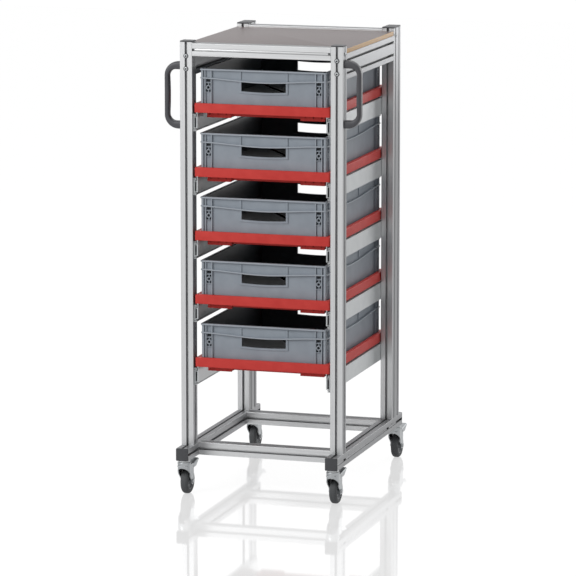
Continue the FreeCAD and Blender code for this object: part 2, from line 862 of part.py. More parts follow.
def handle_stud_z():
    return handle_height / 2 - handle_leg / 2


def handle_studs(side):
    """Studs in the legs of one handle, each with a nut in the post's outer slot."""
    studs = []
    inward = X_AXIS * -side
    for z in (-handle_stud_z(), handle_stud_z()):
        face = V(side * half_width, front_post_y + half_profile, handle_middle_z(side) + z)
        stem = rod(screw_shaft, face - inward * stud_depth, inward, stud_depth)
        studs.append(fused([stem, slot_nut(face, inward, screw_shaft)]))
    return studs


def make_handles():
    shape = handle_shape()
    for name, side in (("left", -1), ("right", 1)):
        piece = shape if side > 0 else mirrored(shape, X_AXIS)
        placed = moved(piece, side * half_width, front_post_y + half_profile, handle_middle_z(side))
        save("handle_" + name, [placed])


# Castors: own origin on the floor under the swivel axis, wheel trailing toward +Y
def castor_mount():
    """Bearing disc under the rail, stem and nut in the rail's slot, kingpin below."""
    disc_low = castor_height - mount_disc_height
    disc = rod(mount_disc, V(0, 0, disc_low), Z_AXIS, mount_disc_height)
    nut = slot_nut(V(0, 0, castor_height), Z_AXIS, mount_stem)
    head_top = plate_low - swivel_gap
    head_low = head_top - kingpin_head_height
    pin = rod(kingpin, V(0, 0, head_top), Z_AXIS, disc_low - head_top)
    head = rod(kingpin_head, V(0, 0, head_low), Z_AXIS, kingpin_head_height)
    return fused([disc, nut, pin, head])


def castor_fork():
    """Crown, top plate and two arms that lean back to the axle."""
    crown = rod(fork_head, V(0, 0, crown_low), Z_AXIS, fork_crown_height)
    rim = [edge for edge in crown.Edges if edge.BoundBox.ZMin > crown_high - fork_round / 2]
    crown = crown.makeFillet(fork_round, rim)
    plate = block((-arm_outer, arm_outer), (-fork_front_reach, fork_rear_reach), (plate_low, crown_low))
    plate = plate.makeFillet(fork_round, edges_along(plate, Z_AXIS))
    pieces = [crown, plate]
    eye_y = fork_eye_radius
    outline = [
        V(arm_inner, fork_rear_reach, crown_low),
        V(arm_inner, wheel_y + eye_y, crown_low - fork_shoulder),
        V(arm_inner, wheel_y + eye_y, axle_z),
        V(arm_inner, wheel_y - eye_y, axle_z),
        V(arm_inner, -fork_front_reach, plate_low - fork_skirt),
        V(arm_inner, -fork_front_reach, crown_low),
    ]
    arm = prism(outline, V(fork_plate, 0, 0))
    eye = rod(2 * fork_eye_radius, V(arm_inner, wheel_y, axle_z), X_AXIS, fork_plate)
    for piece in (arm, eye):
        pieces += [piece, mirrored(piece, X_AXIS)]
    body = fused(pieces)
    body = body.common(fork_envelope())
    pin_hole = rod(kingpin + 2 * axle_fit, V(0, 0, plate_low - overrun), Z_AXIS, castor_height)
    reach = arm_outer + overrun
    axle_hole = rod(axle_diameter + 2 * axle_fit, V(-reach, wheel_y, axle_z), X_AXIS, 2 * reach)
    pedal_hole = rod(pedal_pin, V(-reach, pedal_pin_y, pedal_pin_z), X_AXIS, 2 * reach)
    return body.cut([pin_hole, axle_hole, pedal_hole])


def fork_envelope():
    """A rounded column seen from above that gives the fork its round front."""
    depth = wheel_y + fork_eye_radius
    column = rod(fork_head, ORIGIN, Z_AXIS, castor_height)
    return column.fuse(block((-fork_head / 2, fork_head / 2), (0, depth), (0, castor_height)))


def castor_axle():
    """Wheel axle with a head at each end, and the pedal's pin."""
    start = V(-arm_outer, wheel_y, axle_z)
    shaft = rod(axle_diameter, start, X_AXIS, 2 * arm_outer)
    heads = [rod(axle_head, start, -X_AXIS, axle_head_height)]
    heads.append(mirrored(heads[0], X_AXIS))
    pin = rod(pedal_pin, V(-arm_outer, pedal_pin_y, pedal_pin_z), X_AXIS, 2 * arm_outer)
    return [fused([shaft] + heads), pin]


def turned_ring(points):
    """Turn a half outline, given as places across the wheel and radii, about the axle."""
    wire = Part.makePolygon([V(x, 0, r) for x, r in points + points[:1]])
    ring = Part.Face(wire).revolve(ORIGIN, X_AXIS, 360)
    solid = ring if ring.Solids else Part.makeSolid(ring)
    return moved(solid, 0, wheel_y, axle_z)


def castor_hub():
    rim_in = hub_radius - hub_rim
    half = hub_width / 2
    boss = arm_inner - hub_end_gap
    bore = axle_diameter / 2 + axle_fit
    side = [(boss, bore), (boss, hub_boss_radius), (half - hub_dish, hub_boss_radius)]
    side += [(half - hub_dish, rim_in), (half, rim_in), (half, hub_radius)]
    return turned_ring(side + [(-x, r) for x, r in reversed(side)])


def castor_tyre():
    """A solid tyre with a round-shouldered tread."""
    half = tyre_width / 2
    flank = wheel_radius - tyre_shoulder
    rise = tyre_shoulder * (1 - math.sqrt(0.5))
    seat = hub_radius + tyre_fit
    lines = [V(-half, 0, flank), V(-half, 0, seat), V(half, 0, seat), V(half, 0, flank)]
    top_right = V(half - tyre_shoulder, 0, wheel_radius)
    top_left = V(tyre_shoulder - half, 0, wheel_radius)
    edges = [Part.makeLine(lines[index], lines[index + 1]) for index in range(len(lines) - 1)]
    edges.append(Part.Arc(lines[-1], V(half - rise, 0, wheel_radius - rise), top_right).toShape())
    edges.append(Part.makeLine(top_right, top_left))
    edges.append(Part.Arc(top_left, V(rise - half, 0, wheel_radius - rise), lines[0]).toShape())
    ring = Part.Face(Part.Wire(edges)).revolve(ORIGIN, X_AXIS, 360)
    return moved(ring, 0, wheel_y, axle_z)


# Pedal outline as shares of its length behind the root and of its height below the top
pedal_outline_shares = (
    (0.0, 0.35),
    (0.0, 0.85),
    (0.35, 1.0),
    (0.64, 0.95),
    (1.0, 0.16),
    (1.0, 0.0),
    (0.35, 0.3),
)


def castor_pedal():
    """A folded sheet lever: a top plate that rises to the rear between two cheeks."""
    length = pedal_reach - pedal_root
    half = arm_inner - pedal_side_gap
    spots = []
    for along, down in pedal_outline_shares:
        spots.append((pedal_root + length * along, pedal_top - pedal_height * down))
    outer = prism([V(-half, y, z) for y, z in spots], V(2 * half, 0, 0))
    inner_half = half - pedal_sheet
    hollow = prism([V(-inner_half, y, z - pedal_sheet) for y, z in spots], V(2 * inner_half, 0, 0))
    reach = half + overrun
    pin = rod(pedal_pin + 2 * axle_fit, V(-reach, pedal_pin_y, pedal_pin_z), X_AXIS, 2 * reach)
    return outer.cut([hollow, pin])


def make_castors():
    makers = {"fork": castor_fork, "hub": castor_hub, "tyre": castor_tyre, "pedal": castor_pedal}
    shapes = {name: [maker()] for name, maker in makers.items()}
    shapes["axle"] = castor_axle()
    mounts = []
    for corner, (x, y) in castor_places.items():
        mounts.append(moved(castor_mount(), x, y))
        for name, pieces in shapes.items():
            save("castor_" + corner + "_" + name, [moved(piece, x, y) for piece in pieces])
    save("castor_mounts", mounts)


os.makedirs("parts", exist_ok=True)
make_posts()
make_top_rails()
make_base_rails()
make_screws()
make_end_caps()
make_slot_covers()
make_worktop()
make_drawers()
make_handles()
make_castors()
print("width", 2 * (half_width + handle_stand_off), "depth", total_depth, "height", post_top + cap_thickness)
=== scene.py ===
# %% [markdown]
# # A storage box trolley, dressed in Blender
# The trolley stands on four swivel castors. A frame of slotted aluminium bars carries five red trays on
# telescopic slides, and a grey stacking box sits in each tray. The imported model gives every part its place,
# in metres, and this lesson adds the finish: rounded moulded shapes, metal, plastic, rubber and board.

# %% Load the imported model
import math

import bmesh
import bpy
import numpy as np
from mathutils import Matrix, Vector


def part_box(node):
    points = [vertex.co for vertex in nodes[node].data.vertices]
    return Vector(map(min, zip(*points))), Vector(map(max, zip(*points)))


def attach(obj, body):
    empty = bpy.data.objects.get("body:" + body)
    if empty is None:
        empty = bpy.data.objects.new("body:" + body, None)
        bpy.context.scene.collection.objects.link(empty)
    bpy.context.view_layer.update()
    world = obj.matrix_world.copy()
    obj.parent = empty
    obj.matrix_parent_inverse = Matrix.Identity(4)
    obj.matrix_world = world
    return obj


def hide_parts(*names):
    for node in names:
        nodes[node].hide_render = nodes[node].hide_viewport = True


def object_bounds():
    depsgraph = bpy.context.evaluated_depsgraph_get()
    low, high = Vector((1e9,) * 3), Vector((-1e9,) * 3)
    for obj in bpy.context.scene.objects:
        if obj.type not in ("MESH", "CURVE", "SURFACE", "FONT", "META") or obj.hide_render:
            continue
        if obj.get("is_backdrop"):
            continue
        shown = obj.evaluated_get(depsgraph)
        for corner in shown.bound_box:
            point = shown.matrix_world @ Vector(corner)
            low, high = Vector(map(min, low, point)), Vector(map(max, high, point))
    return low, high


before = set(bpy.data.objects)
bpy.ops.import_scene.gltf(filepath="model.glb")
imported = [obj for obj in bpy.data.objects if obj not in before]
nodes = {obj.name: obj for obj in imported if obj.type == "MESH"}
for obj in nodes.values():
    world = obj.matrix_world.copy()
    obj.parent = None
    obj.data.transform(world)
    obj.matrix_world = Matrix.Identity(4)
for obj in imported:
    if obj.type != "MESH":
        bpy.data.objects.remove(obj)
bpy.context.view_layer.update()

MM = 0.001
LEVELS = range(1, 6)
CORNERS = ("front_left", "front_right", "rear_left", "rear_right")

# %% [markdown]
# ## Helpers for shader nodes
# A colour is written as it looks on a screen, in sRGB hex, and turned to the linear values that a shader
# works in. One function adds a shader node: a value that is a socket becomes a link, anything else is set
# directly.


# %% Colour and node helpers
def linear(code):
    """sRGB hex to linear RGBA: c/12.92 below 0.04045, ((c + 0.055)/1.055)^2.4 above it."""
    values = np.array([int(code[i:i + 2], 16) for i in (1, 3, 5)]) / 255
    low = values / 12.92
    high = ((values + 0.055) / 1.055) ** 2.4
    return (*np.where(values <= 0.04045, low, high).tolist(), 1.0)


def add(tree, kind, inputs=(), **settings):
    """Add a node, set its properties and fill its inputs, given by name or by place."""
    made = tree.nodes.new(kind)
    for name, value in settings.items():
        setattr(made, name, value)
    for key, value in dict(inputs).items():
        if isinstance(value, bpy.types.NodeSocket):
            tree.links.new(value, made.inputs[key])
        else:
            made.inputs[key].default_value = value
    return made


def start(name, **sockets):
    """A new material whose Principled shader has these constant sockets."""
    material = bpy.data.materials.new(name)
    material.use_nodes = True
    shader = material.node_tree.nodes["Principled BSDF"]
    for key, value in sockets.items():
        shader.inputs[key.replace("_", " ")].default_value = value
    return material, material.node_tree, shader


def speckle(tree, across_mm, detail=3.0, stretch=(1.0, 1.0, 1.0)):
    """Noise on Object coordinates with features of about this size; stretch lengthens them along an axis."""
    place = add(tree, "ShaderNodeTexCoord").outputs["Object"]
    scale = [1 / (across_mm * MM * s) for s in stretch]
    sized = add(tree, "ShaderNodeVectorMath", {0: place, 1: scale}, operation="MULTIPLY")
    noise = add(tree, "ShaderNodeTexNoise", {"Vector": sized.outputs[0], "Scale": 1.0, "Detail": detail})
    return noise.outputs["Fac"]


def between(tree, factor, low, high, start_at=0.3, stop_at=0.7):
    """Spread a factor over a range of values."""
    sockets = {"Value": factor, "From Min": start_at, "From Max": stop_at, "To Min": low, "To Max": high}
    return add(tree, "ShaderNodeMapRange", sockets).outputs["Result"]


def tint(tree, factor, dark, light):
    """A colour that runs from dark to light with a factor."""
    ramp = add(tree, "ShaderNodeMix", {0: factor, 6: linear(dark), 7: linear(light)}, data_type="RGBA")
    return ramp.outputs[2]


def rough_up(tree, shader, height, depth_mm, strength=0.4):
    """Bump from a height pattern of this depth."""
    bump = add(tree, "ShaderNodeBump", {"Height": height, "Distance": depth_mm * MM, "Strength": strength})
    tree.links.new(bump.outputs["Normal"], shader.inputs["Normal"])


# %% [markdown]
# ## Finishes
# Each finish starts from the real material. Extruded aluminium is anodised to a satin grey with faint die
# lines along the bar, so its pattern is stretched along one axis. Zinc-plated steel is cloudier, bright on
# the castors and dull on the slides. The moulded plastics have a fine spark-eroded grain, drawn coarser than
# real so that it shows at this size. The boxes also have painted shade in their pockets and inside, and a
# painted highlight on their raised edges, from a tone that each point of their shell carries.


# %% Metals
def anodised_aluminium(axis):
    """Natural anodised extrusion: satin, with die lines that run the length of the bar."""
    name = "anodised_aluminium_along_" + "xyz"[axis]
    material, tree, shader = start(name, Metallic=0.85, Specular_Tint=linear("#8C8C8E"))
    stretch = [1.0, 1.0, 1.0]
    stretch[axis] = 400.0
    lines = speckle(tree, 1.2, 4.0, stretch)
    tree.links.new(tint(tree, between(tree, lines, 0, 1), "#B6B7B8", "#C8C9CA"), shader.inputs["Base Color"])
    tree.links.new(between(tree, lines, 0.30, 0.42), shader.inputs["Roughness"])
    rough_up(tree, shader, lines, 0.03, 0.25)
    return material


def zinc_plated_steel(name, metal, dark, light):
    """Zinc plating: a clear metal with slow clouds of passivation, duller where the metal share is lower."""
    material, tree, shader = start(name, Metallic=metal)
    clouds = speckle(tree, 45.0, 3.0)
    tree.links.new(tint(tree, between(tree, clouds, 0, 1), dark, light), shader.inputs["Base Color"])
    tree.links.new(between(tree, clouds, 0.28, 0.34), shader.inputs["Roughness"])
    return material


# %% Plastics, rubber and board
def moulded_plastic(name, dark, light, rough, grain_mm, grain_depth_mm, sheen=0.5, painted_light=None):
    """Injection moulded plastic: near-even colour with slow flow marks and a fine eroded grain.

    Where a piece has a tone for each point, low tones are painted shade and high ones a painted highlight.
    """
    material, tree, shader = start(name, IOR=1.49, Specular_IOR_Level=sheen)
    flow = speckle(tree, 40.0, 2.0)
    grain = speckle(tree, grain_mm, 2.0)
    colour = tint(tree, between(tree, flow, 0, 1), dark, light)
    if painted_light:
        # Painted light: a low tone darkens a place as painted shade, a high tone lightens raised edges as a
        # painted highlight.
        tone = add(tree, "ShaderNodeAttribute", attribute_name="tone").outputs["Fac"]
        painted_shade = {0: between(tree, tone, 0, 1, 0, 0.5), 6: linear(painted_light[0]), 7: colour}
        painted_shade = add(tree, "ShaderNodeMix", painted_shade, data_type="RGBA").outputs[2]
        painted_highlight = {0: between(tree, tone, 0, 1, 0.5, 1), 6: painted_shade, 7: linear(painted_light[1])}
        colour = add(tree, "ShaderNodeMix", painted_highlight, data_type="RGBA").outputs[2]
    tree.links.new(colour, shader.inputs["Base Color"])
    tree.links.new(between(tree, grain, rough - 0.05, rough + 0.05), shader.inputs["Roughness"])
    rough_up(tree, shader, grain, grain_depth_mm)
    return material


def wheel_rubber():
    """Moulded rubber: dark, dull, dusty grey where it rolls."""
    material, tree, shader = start("wheel_rubber", IOR=1.52, Specular_IOR_Level=0.35)
    dust = speckle(tree, 6.0, 4.0)
    tree.links.new(tint(tree, between(tree, dust, 0, 1), "#484A4C", "#56585A"), shader.inputs["Base Color"])
    tree.links.new(between(tree, dust, 0.55, 0.72), shader.inputs["Roughness"])
    rough_up(tree, shader, speckle(tree, 0.9, 2.0), 0.05)
    return material


def laminate():
    """Pressed laminate on board: grey-brown, with a fine even fleck and a low satin gloss."""
    material, tree, shader = start("grey_brown_laminate", IOR=1.5, Specular_IOR_Level=0.4)
    fleck = speckle(tree, 2.0, 4.0)
    tree.links.new(tint(tree, between(tree, fleck, 0, 1), "#534848", "#5E5353"), shader.inputs["Base Color"])
    tree.links.new(between(tree, fleck, 0.36, 0.46), shader.inputs["Roughness"])
    rough_up(tree, shader, fleck, 0.02)
    return material


def beech_edge():
    """Beech-coloured edge band: pale wood with grain along the edge and short darker flecks."""
    material, tree, shader = start("beech_edge_band", IOR=1.5, Specular_IOR_Level=0.35)
    grain = speckle(tree, 3.0, 5.0, (30.0, 30.0, 1.0))
    tree.links.new(tint(tree, between(tree, grain, 0, 1), "#B98A53", "#D9B47E"), shader.inputs["Base Color"])
    tree.links.new(between(tree, grain, 0.4, 0.55), shader.inputs["Roughness"])
    return material


# %% One material for each finish
ALUMINIUM = [anodised_aluminium(axis) for axis in range(3)]
ZINC = zinc_plated_steel("dull_zinc_plated_steel", 0.5, "#B4B7B9", "#C0C3C4")
BRIGHT_ZINC = zinc_plated_steel("bright_zinc_plated_steel", 1.0, "#979A9C", "#A3A6A8")
RUBBER = wheel_rubber()
LAMINATE = laminate()
BEECH = beech_edge()
# The last two colours are painted shade, for pockets and the inside, and a painted highlight for raised
# edges.
BOX_GREY = moulded_plastic("grey_polypropylene", "#949CA5", "#9CA4AD", 0.46, 1.6, 0.05, 0.25,
                           ("#24282D", "#A7AEB6"))
TRAY_RED = moulded_plastic("red_polypropylene", "#CC433F", "#D64B46", 0.42, 1.6, 0.03, 0.08)
CAP_BLACK = moulded_plastic("black_nylon", "#35363A", "#3E3F42", 0.5, 1.2, 0.06)
HANDLE_BLACK = moulded_plastic("satin_black_nylon", "#3C3C40", "#45454A", 0.4, 1.2, 0.05)
HUB_GREY = moulded_plastic("grey_nylon", "#66696D", "#727579", 0.45, 1.4, 0.05)
print("materials", len(bpy.data.materials))

# %% [markdown]
# ## Metal parts that keep their shape
# The bars, the screws and the slides already have their true sections, so only their finish is set. Each bar
# takes the aluminium whose die lines run along its own longest side, and the rest is dull zinc.


# %% Finish of the kept parts
def dress(node, material):
    """Give a kept part one material."""
    mesh = nodes[node].data
    mesh.materials.clear()
    mesh.materials.append(material)


def longest_axis(node):
    """0, 1 or 2 for X, Y or Z."""
    low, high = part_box(node)
    return int(np.argmax(np.array(high) - np.array(low)))


for name in nodes:
    if name.startswith(("post_", "top_", "base_")):
        dress(name, ALUMINIUM[longest_axis(name)])
    else:
        dress(name, ZINC)

# %% [markdown]
# ## Surfaces from arrays
# The moulded and turned pieces are worked out with numpy as whole grids of points. A loft stacks rounded
# rectangles, a lathe turns an outline about the X axis, and an extrusion carries a flat outline along a
# line. A shape is a pair: its points in millimetres, and its faces as lists of point numbers.


# %% Surface helpers
def grid_faces(rows, columns, wrap_rows=False, wrap_columns=False):
    """Quads between neighbours of a grid of points; wrapping joins the last row or column to the first."""
    index = np.arange(rows * columns).reshape(rows, columns)
    if wrap_rows:
        index = np.vstack([index, index[:1]])
    if wrap_columns:
        index = np.hstack([index, index[:, :1]])
    quads = np.stack([index[:-1, :-1], index[:-1, 1:], index[1:, 1:], index[1:, :-1]], -1)
    return quads.reshape(-1, 4).tolist()


def joined(shapes):
    """Several shapes as one list of points and faces."""
    starts = np.cumsum([0] + [len(points) for points, _ in shapes])
    faces = [[number + first for number in face] for first, (_, own) in zip(starts, shapes) for face in own]
    return np.vstack([points for points, _ in shapes]), faces


def placed(shape, x=0.0, y=0.0, z=0.0, flip=(1, 1, 1)):
    """A copy that is mirrored by the signs of flip and then moved."""
    points, faces = shape
    return points * np.array(flip) + np.array((x, y, z)), faces


def swapped(shape, order, signs=(1, 1, 1)):
    """A copy whose axes are taken in another order, each with a sign, which turns it by quarter turns."""
    points, faces = shape
    return points[:, list(order)] * np.array(signs), faces


def loft(sections, closed=False, arc_steps=6):
    """Stack rounded rectangles (half_x, half_y, radius, z): corners are centre + radius * (cos a, sin a)."""
    half_x, half_y, radius, z = np.array(sections, float).T[:, :, None]
    quarter = np.linspace(0, 90, arc_steps + 1)
    turn = np.radians(np.concatenate([quarter + 90 * corner for corner in range(4)]))
    side_x = np.repeat([1, -1, -1, 1], arc_steps + 1)
    side_y = np.repeat([1, 1, -1, -1], arc_steps + 1)
    x = side_x * (half_x - radius) + radius * np.cos(turn)
    y = side_y * (half_y - radius) + radius * np.sin(turn)
    rows, columns = x.shape
    points = np.stack([x, y, np.broadcast_to(z, x.shape)], -1).reshape(-1, 3)
    faces = grid_faces(rows, columns, closed, True)
    if not closed:
        faces.append(list(range(columns))[::-1])
        faces.append(list(range((rows - 1) * columns, rows * columns)))
    return points, faces


def board(half_x, half_y, z_low, z_high, corner, edge, steps=4):
    """A board with rounded edges: drawn in by edge * (1 - sin a) where z is edge * (1 - cos a) inside."""
    turn = np.radians(np.linspace(0, 90, steps + 1))
    inset = edge * (1 - np.sin(turn))
    rise = edge * (1 - np.cos(turn))
    lower = [(half_x - i, half_y - i, corner - i, z_low + r) for i, r in zip(inset, rise)]
    upper = [(half_x - i, half_y - i, corner - i, z_high - r) for i, r in zip(inset[::-1], rise[::-1])]
    return loft(lower + upper)


def lathe(outline, steps=72):
    """Turn a closed outline of (across, radius) about X: y = radius * cos a, z = radius * sin a."""
    across, radius = np.array(outline, float).T[:, :, None]
    turn = np.linspace(0, 2 * np.pi, steps, endpoint=False)
    y = radius * np.cos(turn)
    points = np.stack([np.broadcast_to(across, y.shape), y, radius * np.sin(turn)], -1).reshape(-1, 3)
    return points, grid_faces(len(outline), steps, True, True)


def extruded(outline, low, high):
    """Carry a closed outline in (Y, Z) along X from low to high."""
    flat = np.array(outline, float)
    ends = [np.column_stack([np.full(len(flat), x), flat]) for x in (low, high)]
    count = len(flat)
    faces = grid_faces(2, count, False, True)
    return np.vstack(ends), faces + [list(range(count))[::-1], list(range(count, 2 * count))]


# %% [markdown]
# A finished piece gets its mesh in metres, one or more materials, normals that point outwards and smooth
# shading that stops at sharp edges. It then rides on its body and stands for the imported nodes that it
# replaces.


# %% Make a piece
SHARP = math.radians(38)
WELD = 0.002


def make_piece(name, shape, materials, body, replaced=(), which=None, tone=None):
    """Build a mesh object at the origin from a shape in millimetres, hang it on its body and hide what it
    replaces.
    """
    points, faces = shape
    mesh = bpy.data.meshes.new(name)
    mesh.from_pydata((points * MM).tolist(), [], faces)
    for material in materials:
        mesh.materials.append(material)
    if which is not None:
        mesh.polygons.foreach_set("material_index", which)
    if tone is not None:
        mesh.attributes.new("tone", "FLOAT", "POINT").data.foreach_set("value", tone)
    work = bmesh.new()
    work.from_mesh(mesh)
    bmesh.ops.remove_doubles(work, verts=work.verts, dist=WELD * MM)
    bmesh.ops.recalc_face_normals(work, faces=work.faces)
    work.to_mesh(mesh)
    work.free()
    mesh.polygons.foreach_set("use_smooth", np.ones(len(mesh.polygons), bool))
    mesh.set_sharp_from_angle(angle=SHARP)
    piece = bpy.data.objects.new(name, mesh)
    bpy.context.collection.objects.link(piece)
    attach(piece, body)
    if replaced:
        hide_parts(*replaced)
    return piece


def node_box(node):
    """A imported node's low and high corners in millimetres."""
    low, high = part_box(node)
    return np.array(low) / MM, np.array(high) / MM


# %% [markdown]
# ## Stacking box
# A stacking box is one moulded shell. Seen from outside its wall is a relief: a rim at the top, a lip under
# it that hangs lower in the middle of each side, ribs between them, columns with a small lattice at the
# corners and a framed hand hole at each end. So the wall is a grid round the box, with a point for each edge
# of that relief, moved in or out by the height of the relief there. Heights count from the outer face of the
# corner columns. Modelling it by booleans would leave long thin triangles.

# %% Box sizes
FACE_HALF = {"end": 203.2, "side": 303.2}
RIM_OUT = 2.6
RIM_DEEP = 5.0
RIM_CHAMFER = 0.8
RIM_ROUND = 1.5
WALL_AT = -6.5
INSIDE_AT = -10.0
CORNER = 4.0
COLUMN = 8.0
COLUMN_AT = -0.6
BOX_HIGH = 122.0
BOX_FLOOR = 8.5
LIP_OUT = 1.8
LIP_HIGH = 4.2
LIP_END = 91.0
LIP_DIP = 9.0
RIB = 3.0
OUTER_RIB, INNER_RIB = 14.9, 34.7
HOLE_HALF = 72.0
HOLE_DEEP = 29.0
HOLE_FRAME = 6.5
FRAME_AT = -3.5
FOOT_HIGH = 5.0
FOOT_AT = -12.5
FOOT_WIDE = 6.0
FOOT_EASE = 0.6
DRAFT = 0.15
CHAMFER = 0.5
GRID_STEP = 12.0
# Tone of the painted shade on the inside of the box.
INSIDE_SHADE_TONE = 0.08


def raised(place, middle, wide, base, top):
    """A flat-topped rise from base to top round a middle: steep sides, chamfered upper edges."""
    reach = np.abs(place - middle) - wide / 2
    return np.interp(reach, [-CHAMFER, 0, DRAFT], [top, top - CHAMFER, base])


def edges_of(first, last):
    """The places where a rise needs a grid line."""
    return [first - DRAFT, first, first + CHAMFER, last - CHAMFER, last, last + DRAFT]


def lip_bottom(along, half):
    """The lip's lower edge, lowest in mid-side: end - dip * (1 + cos(pi * along / half)) / 2."""
    return LIP_END - LIP_DIP * (1 + np.cos(np.pi * np.clip(along / half, -1, 1))) / 2


# %% Grid lines round the box
LATTICE_STEP = 0.6
LATTICE_INSET = (2.2, 1.8)
CORNER_STEPS = 6


def side_lines(half):
    """Places along one side, from its middle, where the relief has an edge or needs a point."""
    lines = [HOLE_HALF] + edges_of(HOLE_HALF, HOLE_HALF + HOLE_FRAME)
    for rib in (half - OUTER_RIB, half - INNER_RIB):
        lines += edges_of(rib - RIB / 2, rib + RIB / 2)
    lines += [half - COLUMN - DRAFT, half - COLUMN]
    inset, outset = LATTICE_INSET
    lines += np.arange(half - INNER_RIB + inset, half - OUTER_RIB - outset, LATTICE_STEP).tolist()
    lines += np.arange(0, half - CORNER, GRID_STEP).tolist()
    lines = np.array(lines)
    lines = lines[lines < half - CORNER - 0.1]
    return np.unique(np.round(np.concatenate([-lines, lines, [CORNER - half, half - CORNER]]), 3))


def round_the_box():
    """The grid's columns: point, outward direction, distance from mid-side, half width and side number.

    The side number is -1 on the round corners.
    """
    columns = []
    end, side = FACE_HALF["end"], FACE_HALF["side"]
    quarters = ((0, -1, end, side), (1, 0, side, end), (0, 1, end, side), (-1, 0, side, end))
    for turn, (out_x, out_y, half, away) in enumerate(quarters):
        along = side_lines(half)
        run_x, run_y = -out_y, out_x
        flat = np.column_stack([along * run_x + away * out_x, along * run_y + away * out_y])
        outward = np.tile((out_x, out_y), (len(along), 1))
        facts = np.column_stack([along, np.full(len(along), half), np.full(len(along), turn)])
        columns.append(np.hstack([flat, outward, facts]))
        angle = np.radians(np.linspace(0, 90, CORNER_STEPS + 2)[1:-1])
        bend_x = np.sin(angle) * run_x + np.cos(angle) * out_x
        bend_y = np.sin(angle) * run_y + np.cos(angle) * out_y
        bend = np.column_stack([bend_x, bend_y])
        centre = np.array((out_x, out_y)) * (away - CORNER) + np.array((run_x, run_y)) * (half - CORNER)
        ends = np.tile((half, half, -1), (CORNER_STEPS, 1))
        columns.append(np.hstack([centre + bend * CORNER, bend, ends]))
    return np.vstack(columns)


# %% The relief of the wall
LATTICE_AT = -5.0
POCKET_AT = -9.6
BAR_AT = -0.8
RING_DOWN = 27.0
RING_HOLE = 4.3
RING_LINE = ([3.8, 4.8, 7.6, 8.6], [POCKET_AT, BAR_AT, BAR_AT, POCKET_AT])
SLOT_DOWN = (1.5, 10.0)
SLOT_HALF = 6.5
BAR_LEVEL = (13.5, 16.0)
POCKET_LEVEL = (5.0, 13.2)
POCKET_ACROSS = (2.2, 8.0)
LATTICE_LOW = 43.0


def inside(value, limits):
    """True between two limits."""
    return (value > limits[0]) & (value < limits[1])


def lattice_relief(across, down):
    """A ring between two bars with deep pockets round it, and a slot above; down counts from the lip."""
    reach = np.abs(across)
    level = np.abs(down - RING_DOWN)
    radius = np.hypot(across, down - RING_DOWN)
    height = np.full(np.broadcast(across, down).shape, LATTICE_AT)
    height = np.where(inside(down, SLOT_DOWN) & (reach < SLOT_HALF), POCKET_AT, height)
    height = np.where(inside(level, BAR_LEVEL), BAR_AT, height)
    height = np.where(inside(level, POCKET_LEVEL) & inside(reach, POCKET_ACROSS), POCKET_AT, height)
    around = np.interp(radius, *RING_LINE)
    return np.where(radius < RING_HOLE, around, np.maximum(height, around))


def wall_relief(along, half, turn, z):
    """Height of the outside: the plain wall, then ribs, hand hole frame, lattice and corner columns."""
    far = np.abs(along)
    lip = lip_bottom(along, half)
    relief = np.full(len(along), WALL_AT)
    grip = HOLE_HALF + HOLE_FRAME
    holed = (turn == 0) | (turn == 2)
    frame_low = np.where(holed, lip - HOLE_DEEP - HOLE_FRAME, lip + LIP_HIGH / 2)
    framed = (z > frame_low) & (holed | (z > lip))
    bridge = raised(far, grip - HOLE_FRAME / 2, HOLE_FRAME, WALL_AT, FRAME_AT)
    plate = np.where(z > lip, bridge, raised(far, 0, 2 * grip, WALL_AT, FRAME_AT))
    relief = np.where(framed, np.maximum(relief, plate), relief)
    between_ribs = (far > half - INNER_RIB + RIB / 2 + DRAFT) & (far < half - OUTER_RIB - RIB / 2 - DRAFT)
    relief = np.where(between_ribs, LATTICE_AT, relief)
    lattice = lattice_relief(far - half + (OUTER_RIB + INNER_RIB) / 2, lip - z)
    relief = np.where(between_ribs & (lip > z) & (lip - z < LATTICE_LOW), lattice, relief)
    for rib in (half - OUTER_RIB, half - INNER_RIB):
        relief = np.maximum(relief, raised(far, rib, RIB, POCKET_AT, 0.0))
    groove = (far > half - OUTER_RIB + RIB / 2 + DRAFT) & (far < half - COLUMN)
    relief = np.where(groove, LATTICE_AT, relief)
    return np.where((turn < 0) | (far >= half - COLUMN), COLUMN_AT, relief)


# %% The box shell
WALL_ROWS = (18.0, 30.0)
INNER_ROW = 13.0
FLOOR_RISE, FLOOR_TURN, FLOOR_IN = 1.5, 0.6, 3.0
RIM_INNER = ((0.0, 1.2), (0.4, 0.3), (1.2, 0.0))
ROW_STEP = 1.0


